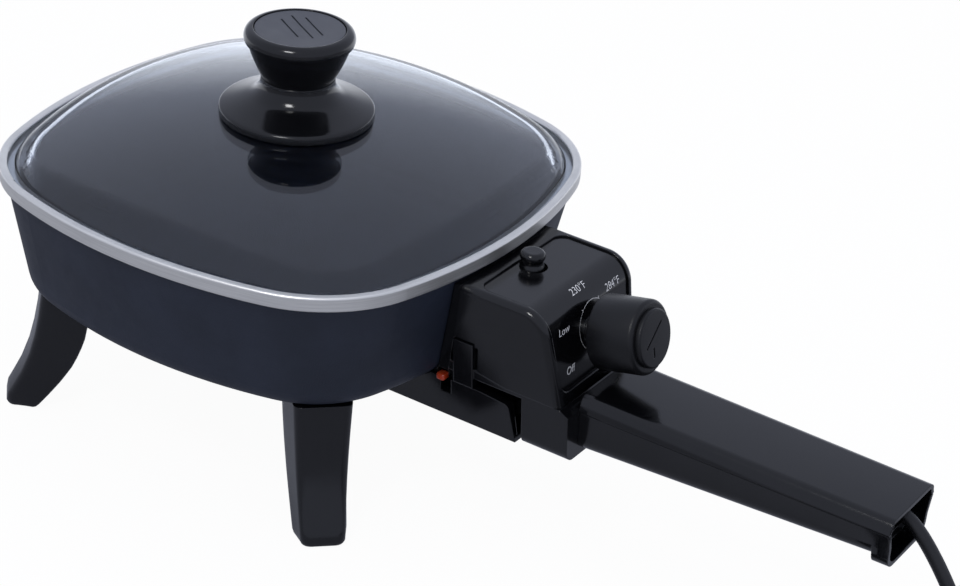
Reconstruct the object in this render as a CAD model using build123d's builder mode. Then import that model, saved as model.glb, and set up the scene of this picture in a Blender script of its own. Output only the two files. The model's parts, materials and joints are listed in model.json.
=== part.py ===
from build123d import *

import os
from math import atan2, cos, degrees, pi, radians, sin, sqrt, tan

# Small electric skillet: a rounded-square pan on four sabre legs, a lift-off domed glass lid,
# and a plug-in control unit with its handle, dial, release button and power cord.
#
# Lengths are in millimetres. +X points along the handle and +Z up. The frame's origin is on the
# table, under the middle of the overall length. Places along X are counted from the pan's centre.

os.makedirs("parts", exist_ok=True)

# ---------------------------------------------------------------- driving dimensions

# Outline of the lid's steel rim: a rounded square of eight arcs. All other outlines are insets of it.
rim_half = 95.0
side_radius = 193.0
corner_radius = 50.0

# Pan
leg_height = 49.6
pan_depth = 44.9
rim_overhang = 2.5
pan_wall = 2.6
pan_floor = 3.0
wall_taper = 11.3
bottom_radius = 9.0

# Heating element under the pan
element_radius = 3.3
element_loop = 44.0
element_leg_y = 9.0
element_corner = 20.0
element_end_x = 91.0
ridge_width = 9.6
ridge_drop = 4.6
pin_radius = 2.0
pin_length = 17.0

# Legs
foot_reach = 103.6
foot_thickness = 9.2
leg_top_width = 21.0
leg_foot_width = 17.7
leg_pad_inner = 61.0
leg_pad_thickness = 7.6
leg_screw_reach = 67.0
leg_boss_radius = 4.5
leg_boss_height = 3.0

# Clearances
seat_gap = 0.3
fit_gap = 0.1
slide_gap = 0.5
running_gap = 0.05

# Lid
band_height = 5.5
band_sheet = 1.0
band_face = 3.2
glass_thickness = 4.0
dome_radius = 316.0
dome_rise = 24.2
shoulder_angle = 36.0
shoulder_radius = 9.0
lid_step_depth = 2.4
lid_hole_radius = 4.0

# Lid knob
skirt_radius = 28.1
skirt_edge = 2.3
neck_radius = 13.4
neck_height = 16.0
grip_waist_height = 27.0
grip_radius = 19.7
grip_edge = 4.6
grip_height = 34.0
knob_groove_turn = 152.0
knob_groove_length = 17.0
knob_groove_width = 0.9
knob_groove_pitch = 4.5
washer_thickness = 1.2

# Control unit
unit_top_z = 93.0
unit_half_top = 29.5
unit_side_lean = 6.73
unit_rear_x = 93.4
unit_rear_lean = 7.9
unit_front_x = 134.2
unit_front_lean = 12.1
unit_brow_radius = 11.0
unit_edge_radius = 2.4
unit_wall = 3.0
parting_z = 57.6
parting_rear_z = 60.0
belly_z = 56.3
ear_z = 52.4
ear_top_z = 70.6
ear_front_x = 99.0
ear_length = 8.0
ear_proud = 0.8
collar_rear_x = 118.9
collar_front_x = 137.6
collar_wall = 2.4
collar_corner = 5.0
shroud_bottom_z = 36.3

# Panel let into the top and front of the control unit
panel_rear_x = 98.5
panel_foot_z = 62.0
panel_border = 3.4
panel_thickness = 1.2
panel_sink = 0.7
panel_corner = 5.0

# Pin shroud and wall plate under and beside the pan
shroud_rear_x = 62.0
shroud_front_x = 116.5
shroud_top_z = 52.0
shroud_wall = 2.2
shroud_screw_x = 70.0
shroud_screw_y = 18.0
plate_side_inset = 1.2

# Contact block of the control unit
block_nose_x = 95.0
block_half = 16.0
block_height = 7.2
sleeve_wall = 0.8
probe_radius = 2.2
probe_tip_x = 84.0

# Dial
dial_radius = 13.2
dial_length = 16.5
dial_tilt = 13.0
dial_face_x = 152.4
dial_face_z = 82.2
dial_cap_radius = 10.4
dial_cap_proud = 2.0
dial_hub_radius = 6.5
shaft_radius = 3.0
thermostat_radius = 11.0
thermostat_depth = 12.0

# Release button
button_x = 104.5
button_radius = 4.1
button_rise = 7.0
plunger_radius = 2.4
spring_radius = 2.1
spring_wire = 0.6
spring_turns = 5
tongue_z = 79.0
tongue_thickness = 2.5

# Handle
handle_end_x = 254.6
handle_half_root = 17.6
handle_half_end = 14.9
handle_top_root = 61.0
handle_top_end = 59.2
handle_bottom_root = 38.6
handle_bottom_end = 43.8
handle_parting_z = 53.5
handle_edge = 3.0
handle_wall = 1.6
tenon_length = 7.0
foot_step_length = 6.5
foot_step_drop = 2.3

# Cord
cord_radius = 2.5
cord_y = 3.5
cord_z = 54.4
relief_end_x = 231.5
relief_length = 24.0
coil_x = 262.0
coil_y = -50.0
coil_radius = 28.0
coil_turns_across = 2
plug_length = 26.0
plug_width = 25.0
plug_thickness = 15.0
plug_relief = 12.0
blade_length = 17.0
blade_width = 6.35
blade_thickness = 1.5
blade_spacing = 12.7

# ---------------------------------------------------------------- worked out from them

pan_x = -(handle_end_x - rim_half) / 2
pan_bottom_z = leg_height
pan_rim_z = leg_height + pan_depth
pan_rim_half = rim_half - rim_overhang
band_bottom_z = pan_rim_z + seat_gap
band_top_z = band_bottom_z + band_height
glass_seat_z = band_bottom_z + band_sheet + fit_gap
dome_top_z = pan_rim_z + dome_rise
element_z = pan_bottom_z - ridge_drop + 1.0

SIDE = Plane(origin=(pan_x, 0, 0), x_dir=(1, 0, 0), z_dir=(0, -1, 0))
PAN_AXIS = Axis((pan_x, 0, 0), (0, 0, 1))


def level(z):
    """Horizontal plane at height z with its origin on the pan's axis."""
    return Plane(origin=(pan_x, 0, z), x_dir=(1, 0, 0), z_dir=(0, 0, 1))


def level_down(z):
    """The same plane facing down."""
    return Plane(origin=(pan_x, 0, z), x_dir=(1, 0, 0), z_dir=(0, 0, -1))


def station(x):
    """Plane across the handle at distance x from the pan's centre: its axes are Y and Z."""
    return Plane(origin=(pan_x + x, 0, 0), x_dir=(0, 1, 0), z_dir=(1, 0, 0))


def save(piece, name):
    """Label a finished piece and write its STEP file."""
    piece.part.label = name
    export_step(piece.part, f"parts/{name}.step")


# ---------------------------------------------------------------- rounded-square forms

side_centre = side_radius - rim_half
corner_centre = (sqrt(2 * (side_radius - corner_radius) ** 2 - side_centre**2) - side_centre) / 2
side_swing = degrees(atan2(corner_centre, corner_centre + side_centre))


def rounded_square(half):
    """Closed outline of four bowed sides and four corners, inset from the lid's rim outline."""
    inset = rim_half - half
    with BuildSketch() as outline:
        with BuildLine():
            for turn in range(0, 360, 90):
                side = Vector(-side_centre, 0).rotate(Axis.Z, turn)
                corner = Vector(corner_centre, corner_centre).rotate(Axis.Z, turn)
                CenterArc(side, side_radius - inset, turn - side_swing, 2 * side_swing)
                CenterArc(corner, corner_radius - inset, turn + side_swing, 90 - 2 * side_swing)
        make_face()
    return outline.sketch


def tapered_pan(half, top_z, bottom_z, edge_radius):
    """Solid with the pan's taper, from the outline at top_z down to a rounded bottom edge."""
    with BuildPart() as blank:
        with BuildSketch(level_down(top_z)):
            add(rounded_square(half))
        extrude(amount=top_z - bottom_z, taper=wall_taper)
        fillet(blank.edges().group_by(Axis.Z)[0], edge_radius)
    return blank.part


def ring(outer_half, inner_half, low, high):
    """Straight rounded-square ring between two heights."""
    with BuildPart() as blank:
        with BuildSketch(level(low)):
            add(rounded_square(outer_half))
        extrude(amount=high - low)
        with BuildSketch(level(low)):
            add(rounded_square(inner_half))
        extrude(amount=high - low, mode=Mode.SUBTRACT)
    return blank.part


# ---------------------------------------------------------------- pan and heating element

leg_turns = (45, 135, 225, 315)
leg_screw_places = [
    (leg_screw_reach * cos(radians(turn)), leg_screw_reach * sin(radians(turn))) for turn in leg_turns
]
shroud_screw_places = [(shroud_screw_x, -shroud_screw_y), (shroud_screw_x, shroud_screw_y)]
screw_radius = 1.9
small_screw_radius = 1.5
floor_hole_depth = pan_floor - 0.8


def element_path(end_x):
    """Centre line of the element: a rounded-square loop with both legs led out under the handle."""
    points = [
        (pan_x + end_x, element_leg_y, element_z),
        (pan_x + element_loop, element_leg_y, element_z),
        (pan_x + element_loop, element_loop, element_z),
        (pan_x - element_loop, element_loop, element_z),
        (pan_x - element_loop, -element_loop, element_z),
        (pan_x + element_loop, -element_loop, element_z),
        (pan_x + element_loop, -element_leg_y, element_z),
        (pan_x + end_x, -element_leg_y, element_z),
    ]
    tight = 2 * element_radius
    corners = [tight] + [element_corner] * 4 + [tight]
    with BuildLine() as path:
        FilletPolyline(*points, radius=corners)
    return path.line


ridge_end_x = element_end_x - 14.0
ridge_path = element_path(ridge_end_x)
groove_path = element_path(ridge_end_x + 1.0)
tube_path = element_path(element_end_x)
outer_pan = tapered_pan(pan_rim_half, pan_rim_z, pan_bottom_z, bottom_radius)
inner_pan = tapered_pan(
    pan_rim_half - pan_wall, pan_rim_z, pan_bottom_z + pan_floor, bottom_radius - 2
)

with BuildPart() as skillet_pan:
    add(outer_pan)
    with BuildSketch(station(ridge_end_x)):
        with Locations((element_leg_y, pan_bottom_z - ridge_drop / 2 + 0.5)):
            Rectangle(ridge_width, ridge_drop + 1)
    sweep(path=ridge_path)
    with BuildSketch(station(ridge_end_x + 1.0)):
        with Locations((element_leg_y, element_z)):
            Circle(element_radius + fit_gap)
    sweep(path=groove_path, mode=Mode.SUBTRACT)
    add(inner_pan, mode=Mode.SUBTRACT)
    with BuildSketch(level_down(pan_bottom_z)):
        with Locations(*leg_screw_places):
            Circle(leg_boss_radius)
    extrude(amount=leg_boss_height)
    with BuildSketch(level_down(pan_bottom_z + floor_hole_depth)):
        with Locations(*leg_screw_places):
            Circle(screw_radius + running_gap)
    extrude(amount=floor_hole_depth + leg_boss_height, mode=Mode.SUBTRACT)
    with BuildSketch(level_down(pan_bottom_z + floor_hole_depth)):
        with Locations(*shroud_screw_places):
            Circle(small_screw_radius + running_gap)
    extrude(amount=floor_hole_depth, mode=Mode.SUBTRACT)
save(skillet_pan, "skillet_pan")

with BuildPart() as heating_element:
    with BuildSketch(station(element_end_x)):
        with Locations((element_leg_y, element_z)):
            Circle(element_radius)
    sweep(path=tube_path)
save(heating_element, "heating_element")

with BuildPart() as terminal_pins:
    with BuildSketch(station(element_end_x)):
        with Locations((-element_leg_y, element_z), (element_leg_y, element_z)):
            Circle(pin_radius)
    extrude(amount=pin_length)
    chamfer(terminal_pins.edges().group_by(Axis.X)[-1], pin_radius / 3)
save(terminal_pins, "terminal_pins")

# ---------------------------------------------------------------- legs

leg_seat = tapered_pan(
    pan_rim_half + seat_gap, pan_rim_z, pan_bottom_z - seat_gap, bottom_radius
)
leg_blank_top = pan_bottom_z + 7.0
leg_pad_top = pan_bottom_z - seat_gap


def leg_plane(turn):
    """Upright radial plane through the pan's axis: its axes are the reach and Z."""
    return Plane(
        origin=(pan_x, 0, 0),
        x_dir=(cos(radians(turn)), sin(radians(turn)), 0),
        z_dir=(sin(radians(turn)), -cos(radians(turn)), 0),
    )


def leg_profile():
    """Sabre outline: upright beside the pan, swept outwards to a narrow foot, with an inner pad."""
    foot_inner = foot_reach - foot_thickness
    outer_top = foot_reach - 9.6
    throat = foot_reach - 27.9
    with BuildSketch() as profile:
        with BuildLine():
            outer = Spline(
                (outer_top, leg_blank_top),
                (outer_top + 1.6, pan_bottom_z * 0.78),
                (foot_reach - 3.4, pan_bottom_z * 0.44),
                (foot_reach + 1.6, pan_bottom_z * 0.17),
                tangents=((0.02, -1), (0.35, -1)),
            )
            Line(outer @ 1, (foot_reach, 0))
            Line((foot_reach, 0), (foot_inner, 0))
            inner = Spline(
                (foot_inner, 0),
                (throat + 8.8, pan_bottom_z * 0.26),
                (throat + 1.0, pan_bottom_z * 0.55),
                (throat, leg_pad_top - leg_pad_thickness),
                tangents=((-1, 0.75), (-0.05, 1)),
            )
            Polyline(
                inner @ 1,
                (leg_pad_inner, leg_pad_top - leg_pad_thickness),
                (leg_pad_inner, leg_pad_top),
                (outer_top - 12, leg_pad_top),
                (outer_top - 12, leg_blank_top),
                (outer_top, leg_blank_top),
            )
        make_face()
    return profile.sketch


def leg_taper_profile():
    """The leg seen along its radius: wider at the pan than at the foot."""
    with BuildSketch() as profile:
        with BuildLine():
            Polyline(
                (-leg_foot_width / 2, 0),
                (leg_foot_width / 2, 0),
                (leg_top_width / 2, leg_blank_top),
                (-leg_top_width / 2, leg_blank_top),
                close=True,
            )
        make_face()
    return profile.sketch


def build_leg(turn):
    """One leg: sabre profile across, tapered width, seated under the pan's corner."""
    across = Plane(
        origin=(pan_x, 0, 0),
        x_dir=(-sin(radians(turn)), cos(radians(turn)), 0),
        z_dir=(cos(radians(turn)), sin(radians(turn)), 0),
    )
    with BuildPart() as leg:
        with BuildSketch(leg_plane(turn)):
            add(leg_profile())
        extrude(amount=leg_top_width, both=True)
        with BuildSketch(across):
            add(leg_taper_profile())
        extrude(amount=foot_reach + 20, mode=Mode.INTERSECT)
        outer_edges = leg.edges().filter_by(
            lambda edge: edge.length > 30 and Vector(pan_x, 0, 0).sub(edge @ 0).length > 90
        )
        fillet(outer_edges, 2.4)
        add(leg_seat, mode=Mode.SUBTRACT)
        screw_place = Plane(leg_plane(turn).from_local_coords((leg_screw_reach, 0, 0)))
        with BuildSketch(screw_place.offset(leg_pad_top)):
            Circle(leg_boss_radius + seat_gap)
        extrude(amount=-leg_boss_height - seat_gap, mode=Mode.SUBTRACT)
        with BuildSketch(screw_place.offset(leg_pad_top)):
            Circle(screw_radius + fit_gap)
        extrude(amount=-leg_pad_thickness, mode=Mode.SUBTRACT)
    return leg


leg_names = ("leg_handle_far", "leg_rear_far", "leg_rear_near", "leg_handle_near")
for leg_name, leg_turn in zip(leg_names, leg_turns):
    save(build_leg(leg_turn), leg_name)

leg_screw_head_z = leg_pad_top - leg_pad_thickness
with BuildPart() as leg_screws:
    with BuildSketch(level_down(leg_screw_head_z)):
        with Locations(*leg_screw_places):
            Circle(3.6)
    extrude(amount=2.2)
    with BuildSketch(level(leg_screw_head_z)):
        with Locations(*leg_screw_places):
            Circle(screw_radius)
    extrude(amount=pan_bottom_z + floor_hole_depth - fit_gap - leg_screw_head_z)
save(leg_screws, "leg_screws")

# ---------------------------------------------------------------- lid

glass_half = rim_half - band_sheet - fit_gap
glass_flange_top_z = band_top_z - band_sheet - fit_gap
step_half = pan_rim_half - pan_wall - slide_gap
dome_centre = (pan_x, 0, dome_top_z - dome_radius)


def glass_dome(inset):
    """Domed form with a steep rounded shoulder; inset moves its outer surface inwards."""
    start_z = glass_seat_z - inset
    half = rim_half - band_face - fit_gap - inset * cos(radians(shoulder_angle))
    with BuildPart() as blank:
        with BuildSketch(level(start_z)):
            add(rounded_square(half))
        extrude(amount=dome_rise, taper=shoulder_angle)
        with Locations(dome_centre):
            Sphere(dome_radius - inset, mode=Mode.INTERSECT)
        crown = blank.faces().sort_by(Axis.Z)[-1]
        fillet(crown.edges(), shoulder_radius - inset / 2)
    return blank.part


dome_outer = glass_dome(0)
dome_inner = glass_dome(glass_thickness)

with BuildPart() as lid_glass:
    with BuildSketch(level(glass_seat_z)):
        add(rounded_square(glass_half))
    extrude(amount=glass_flange_top_z - glass_seat_z)
    add(dome_outer)
    add(dome_inner, mode=Mode.SUBTRACT)
    with BuildSketch(level(pan_rim_z)):
        Circle(lid_hole_radius)
    extrude(amount=2 * dome_rise, mode=Mode.SUBTRACT)
save(lid_glass, "lid_glass")

band_groove = ring(
    rim_half - band_sheet, rim_half - 2 * rim_overhang - pan_wall, glass_seat_z - fit_gap,
    glass_flange_top_z + fit_gap,
)
with BuildPart() as lid_band:
    add(ring(rim_half, rim_half - band_face, band_bottom_z, band_top_z))
    fillet(lid_band.edges().group_by(Axis.Z)[0] + lid_band.edges().group_by(Axis.Z)[-1], band_sheet * 0.9)
    add(ring(rim_half - band_face, step_half - band_sheet, band_bottom_z, band_bottom_z + band_sheet))
    add(ring(step_half, step_half - band_sheet, band_bottom_z - lid_step_depth, band_bottom_z + band_sheet))
    add(band_groove, mode=Mode.SUBTRACT)
save(lid_band, "lid_band")

# ---------------------------------------------------------------- lid knob

skirt_bottom_z = dome_top_z - (dome_radius - sqrt(dome_radius**2 - skirt_radius**2)) + seat_gap
neck_z = skirt_bottom_z + neck_height
waist_z = skirt_bottom_z + grip_waist_height
knob_top_z = skirt_bottom_z + grip_height
knob_screw_radius = 2.5
knob_insert_radius = grip_radius - 2.6
knob_insert_depth = 1.6
knob_thread_depth = 10.0

with BuildPart() as knob_skirt:
    with BuildSketch(SIDE):
        with BuildLine():
            Polyline((0, dome_top_z + seat_gap), (0, neck_z), (neck_radius, neck_z))
            ThreePointArc(
                (neck_radius, neck_z),
                (neck_radius + 4.0, neck_z - 8.8),
                (skirt_radius - 0.8, skirt_bottom_z + skirt_edge),
            )
            Polyline(
                (skirt_radius - 0.8, skirt_bottom_z + skirt_edge),
                (skirt_radius, skirt_bottom_z + skirt_edge - 0.8),
                (skirt_radius, skirt_bottom_z),
            )
            ThreePointArc(
                (skirt_radius, skirt_bottom_z),
                (skirt_radius / 2, dome_top_z + seat_gap - skirt_radius**2 / (8 * dome_radius)),
                (0, dome_top_z + seat_gap),
            )
        make_face()
    revolve(axis=PAN_AXIS)
    with BuildSketch(level(neck_z)):
        Circle(knob_screw_radius + fit_gap)
    extrude(amount=-neck_height, mode=Mode.SUBTRACT)
save(knob_skirt, "knob_skirt")

with BuildPart() as knob_grip:
    with BuildSketch(SIDE):
        with BuildLine():
            Polyline((0, neck_z), (neck_radius - 0.3, neck_z))
            waist = ThreePointArc(
                (neck_radius - 0.3, neck_z),
                (neck_radius + 1.2, (neck_z + waist_z) / 2),
                (grip_radius - 2.2, waist_z),
            )
            Polyline(
                waist @ 1,
                (grip_radius - 0.8, waist_z),
                (grip_radius, waist_z + 0.8),
                (grip_radius, knob_top_z - 2.3),
            )
            crown = ThreePointArc(
                (grip_radius, knob_top_z - 2.3),
                (grip_radius - 0.8, knob_top_z - 0.7),
                (grip_radius - 2.6, knob_top_z),
            )
            Polyline(
                crown @ 1,
                (knob_insert_radius, knob_top_z - knob_insert_depth),
                (0, knob_top_z - knob_insert_depth),
                (0, neck_z),
            )
        make_face()
    revolve(axis=PAN_AXIS)
    with BuildSketch(level(neck_z)):
        Circle(knob_screw_radius)
    extrude(amount=knob_thread_depth, mode=Mode.SUBTRACT)
save(knob_grip, "knob_grip")

with BuildPart() as knob_insert:
    with BuildSketch(level(knob_top_z - knob_insert_depth)):
        Circle(knob_insert_radius - running_gap)
    extrude(amount=knob_insert_depth - 0.4)
    groove_plane = Plane(
        origin=(pan_x, 0, knob_top_z - 0.4),
        x_dir=(cos(radians(knob_groove_turn)), sin(radians(knob_groove_turn)), 0),
        z_dir=(0, 0, 1),
    )
    with BuildSketch(groove_plane):
        with GridLocations(0, knob_groove_pitch, 1, 3):
            SlotOverall(knob_groove_length, knob_groove_width)
    extrude(amount=-0.5, mode=Mode.SUBTRACT)
save(knob_insert, "knob_insert")

lid_washer_radius = 11.0
washer_z = dome_top_z - glass_thickness - seat_gap - washer_thickness
with BuildPart() as lid_washer:
    with BuildSketch(level(washer_z)):
        Circle(lid_washer_radius)
        Circle(knob_screw_radius + fit_gap, mode=Mode.SUBTRACT)
    extrude(amount=washer_thickness)
save(lid_washer, "lid_washer")

with BuildPart() as lid_screw:
    with BuildSketch(level(washer_z)):
        Circle(2 * knob_screw_radius)
    extrude(amount=-2.6)
    fillet(lid_screw.edges().group_by(Axis.Z)[0], 1.6)
    with BuildSketch(level(washer_z)):
        Circle(knob_screw_radius - running_gap)
    extrude(amount=neck_z + knob_thread_depth - 1.0 - washer_z)
save(lid_screw, "lid_screw")

with BuildPart() as glass_grommet:
    with BuildSketch(level(dome_top_z - glass_thickness)):
        Circle(lid_hole_radius - fit_gap)
        Circle(knob_screw_radius + fit_gap, mode=Mode.SUBTRACT)
    extrude(amount=glass_thickness)
save(glass_grommet, "glass_grommet")

# ---------------------------------------------------------------- control unit outlines

unit_rear_slope = tan(radians(unit_rear_lean))
unit_front_slope = tan(radians(unit_front_lean))
unit_side_slope = tan(radians(unit_side_lean))


def unit_rear(z):
    """X of the control unit's rear face at height z."""
    return unit_rear_x - (unit_top_z - z) * unit_rear_slope


def unit_front(z):
    """X of the control unit's front face at height z."""
    return unit_front_x - (z - parting_z) * unit_front_slope


def unit_half(z):
    """Half width of the control unit at height z."""
    return unit_half_top - (unit_top_z - z) * unit_side_slope


def unit_flanks(inset, low_x, high_x, low_z=0.0):
    """Prism along X with the unit's leaning sides, from low_z up past its top."""
    high_z = unit_top_z + 20
    with BuildPart() as blank:
        with BuildSketch(station(low_x)):
            with BuildLine():
                Polyline(
                    (-unit_half(low_z) + inset, low_z),
                    (unit_half(low_z) - inset, low_z),
                    (unit_half(high_z) - inset, high_z),
                    (-unit_half(high_z) + inset, high_z),
                    close=True,
                )
            make_face()
        extrude(amount=high_x - low_x)
    return blank.part


def housing_outline(inset, drop):
    """Side outline of the upper housing; drop lowers its bottom below the parting line."""
    top = unit_top_z - inset
    rear_low = parting_rear_z - drop
    front_low = parting_z - drop
    with BuildSketch() as profile:
        with BuildLine():
            Polyline(
                (unit_rear(rear_low) + inset, rear_low),
                (ear_front_x, rear_low),
                (ear_front_x + 13, front_low),
                (unit_front(front_low) - inset, front_low),
                (unit_front(top) - inset, top),
                (unit_rear(top) + inset, top),
                close=True,
            )
        make_face()
        brow = profile.vertices().sort_by(Axis.Y)[-2:].sort_by(Axis.X)[-1]
        fillet(brow, unit_brow_radius - inset)
    return profile.sketch


def housing_form(inset, drop):
    """Solid of the upper housing, inset all round."""
    with BuildPart() as blank:
        with BuildSketch(SIDE):
            add(housing_outline(inset, drop))
        extrude(amount=unit_half_top, both=True)
        add(unit_flanks(inset, unit_rear(0), unit_front_x + 30), mode=Mode.INTERSECT)
    return blank.part


# Axis of the dial: it lies in the middle plane and tilts up towards the user.
dial_axis_dir = (cos(radians(dial_tilt)), 0, sin(radians(dial_tilt)))


def dial_plane(distance):
    """Plane across the dial's axis, at a distance from the dial's face (negative is inwards)."""
    origin = (
        pan_x + dial_face_x + distance * dial_axis_dir[0],
        0,
        dial_face_z + distance * dial_axis_dir[2],
    )
    return Plane(origin=origin, x_dir=(0, 1, 0), z_dir=dial_axis_dir)


# Distance along the axis from the dial's face back to the unit's front face.
panel_distance = -(
    dial_face_x - unit_front(dial_face_z)
) * cos(radians(unit_front_lean)) / cos(radians(dial_tilt - unit_front_lean))
panel_surface = panel_distance - panel_sink
panel_back = panel_surface - panel_thickness
wall_back = panel_distance - unit_wall

panel_recess = panel_sink + panel_thickness


def panel_form(outer_inset, inner_inset, gap):
    """Bent plate along the unit's top and front, between two insets, inside the raised border."""
    with BuildPart() as blank:
        with BuildSketch(SIDE):
            add(housing_outline(outer_inset, 0))
            add(housing_outline(inner_inset, unit_wall + 1), mode=Mode.SUBTRACT)
        extrude(amount=unit_half_top, both=True)
        low_half = unit_half(panel_foot_z) - panel_border + gap
        high_half = unit_half(unit_top_z) - panel_border + gap
        with BuildSketch(station(panel_rear_x - gap)) as front_view:
            with BuildLine():
                Polyline(
                    (-low_half, panel_foot_z - gap),
                    (low_half, panel_foot_z - gap),
                    (high_half, unit_top_z + 1),
                    (-high_half, unit_top_z + 1),
                    close=True,
                )
            make_face()
            fillet(front_view.vertices().sort_by(Axis.Y)[:2], panel_corner)
        extrude(amount=unit_front_x - panel_rear_x + 5, mode=Mode.INTERSECT)
        with BuildSketch(level(panel_foot_z - 1)):
            with Locations((panel_rear_x - gap + 50, 0)):
                RectangleRounded(100, 2 * high_half, panel_corner)
        extrude(amount=unit_top_z, mode=Mode.INTERSECT)
    return blank.part


def ear_form(outer, inner, low_z, high_z, gap):
    """Pair of upright tabs on the unit's flanks, between two insets of the flank."""
    with BuildPart() as blank:
        with BuildSketch(SIDE):
            with BuildLine():
                Polyline(
                    (ear_front_x - ear_length - gap, low_z),
                    (ear_front_x + gap, low_z),
                    (ear_front_x + gap, high_z),
                    (ear_front_x - ear_length - gap, high_z),
                    close=True,
                )
            make_face()
        extrude(amount=unit_half_top + 5, both=True)
        add(unit_flanks(outer, 0, 200), mode=Mode.INTERSECT)
        add(unit_flanks(inner, 0, 200), mode=Mode.SUBTRACT)
    return blank.part


button_hole_radius = button_radius + slide_gap
bushing_radius = shaft_radius + 1.8
ear_slot = 1.6
tongue_half = plunger_radius + slide_gap + 2.6

# ---------------------------------------------------------------- control housing and its base

housing_blank = housing_form(0, 0)
housing_hollow = housing_form(unit_wall, 4)
panel_pocket = panel_form(-1, panel_recess, fit_gap)
ear_pocket = ear_form(-1, 1 + fit_gap, parting_z - 1, ear_top_z + fit_gap, fit_gap)
ear_slot_cut = ear_form(-1, 1.6, parting_rear_z + 0.5, ear_top_z - 1, ear_slot)

with BuildPart() as control_housing:
    add(housing_blank)
    rim_edges = control_housing.edges().filter_by(
        lambda edge: abs(edge.center().Y) > unit_half(unit_top_z) * 0.75
        and edge.center().Z > parting_rear_z + 5
        and edge.center().X > pan_x + unit_rear(parting_z) + 8
    )
    fillet(rim_edges, unit_edge_radius)
    add(housing_hollow, mode=Mode.SUBTRACT)
    add(panel_pocket, mode=Mode.SUBTRACT)
    add(ear_pocket, mode=Mode.SUBTRACT)
    add(ear_slot_cut, mode=Mode.SUBTRACT)
    with BuildSketch(level(unit_top_z)):
        with Locations((button_x, 0)):
            Circle(button_hole_radius)
    extrude(amount=-2 * unit_wall, mode=Mode.SUBTRACT)
    with BuildSketch(dial_plane(0)):
        Circle(bushing_radius + fit_gap)
    extrude(amount=wall_back - 4, mode=Mode.SUBTRACT)
    with BuildSketch(station(unit_rear_x - 10)):
        with Locations((0, tongue_z + tongue_thickness / 2)):
            Rectangle(2 * (tongue_half + slide_gap), tongue_thickness + 2 * slide_gap)
    extrude(amount=15, mode=Mode.SUBTRACT)
save(control_housing, "control_housing")

with BuildPart() as control_panel:
    add(panel_form(panel_sink, panel_recess, 0))
    with BuildSketch(level(unit_top_z)):
        with Locations((button_x, 0)):
            Circle(button_hole_radius)
    extrude(amount=-2 * unit_wall, mode=Mode.SUBTRACT)
    with BuildSketch(dial_plane(0)):
        Circle(bushing_radius + fit_gap)
    extrude(amount=wall_back - 4, mode=Mode.SUBTRACT)
save(control_panel, "control_panel")

block_low_z = element_z - block_height / 2
collar_floor_z = shroud_bottom_z + collar_wall
tenon_half = 12.0
tenon_low_z = 42.0
tenon_high_z = 51.0
block_flange = 2.5
block_flange_x = collar_rear_x + collar_wall + fit_gap

with BuildPart() as unit_base:
    with BuildSketch(SIDE):
        with BuildLine():
            Polyline(
                (unit_rear(parting_rear_z), parting_rear_z),
                (ear_front_x, parting_rear_z),
                (ear_front_x + 13, parting_z),
                (unit_front_x, parting_z),
                (collar_front_x, parting_z - 2.2),
                (collar_front_x, shroud_bottom_z),
                (collar_rear_x, shroud_bottom_z),
                (collar_rear_x, belly_z),
                (unit_rear(belly_z), belly_z),
                close=True,
            )
        make_face()
    extrude(amount=unit_half_top, both=True)
    add(unit_flanks(0, unit_rear(0), collar_front_x + 1), mode=Mode.INTERSECT)
    fillet(unit_base.edges().filter_by(Axis.X).group_by(Axis.Z)[0], collar_corner)
    add(ear_form(-ear_proud, 1, ear_z, ear_top_z, 0))
    add(ear_form(-ear_proud, shroud_wall, ear_z, belly_z + 1, 0))
    with BuildSketch(SIDE):
        with BuildLine():
            Polyline(
                (collar_rear_x + collar_wall, collar_floor_z),
                (collar_front_x - collar_wall, collar_floor_z),
                (collar_front_x - collar_wall, parting_z - 3),
                (unit_front_x - unit_wall, parting_z + 1),
                (collar_rear_x + collar_wall, parting_z + 1),
                close=True,
            )
        make_face()
    extrude(amount=unit_half(collar_floor_z) - collar_wall - 1, both=True, mode=Mode.SUBTRACT)
    with BuildSketch(station(collar_rear_x - 1)):
        with Locations((0, element_z)):
            Rectangle(2 * (block_half + fit_gap), block_height + 2 * fit_gap)
    extrude(amount=collar_wall + 2, mode=Mode.SUBTRACT)
    with BuildSketch(station(collar_front_x + 1)):
        with Locations((0, (tenon_low_z + tenon_high_z) / 2)):
            Rectangle(2 * (tenon_half + fit_gap), tenon_high_z - tenon_low_z + 2 * fit_gap)
    extrude(amount=-collar_wall - 2, mode=Mode.SUBTRACT)
    with BuildSketch(level(parting_rear_z - 1)):
        with Locations((button_x, 0)):
            Circle(spring_radius - spring_wire)
    extrude(amount=7)
save(unit_base, "unit_base")

# ---------------------------------------------------------------- pin shroud under the pan

pan_cutter = tapered_pan(
    pan_rim_half + seat_gap, pan_rim_z + seat_gap, pan_bottom_z - seat_gap, bottom_radius
)
shroud_roof_z = shroud_top_z - 2.0
shroud_floor_z = shroud_bottom_z + shroud_wall
lens_x = 87.3
lens_length = 4.2
lens_y = -22.0
lens_width = 5.2
lens_low_z = 46.0
lens_top_z = 53.6

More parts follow.
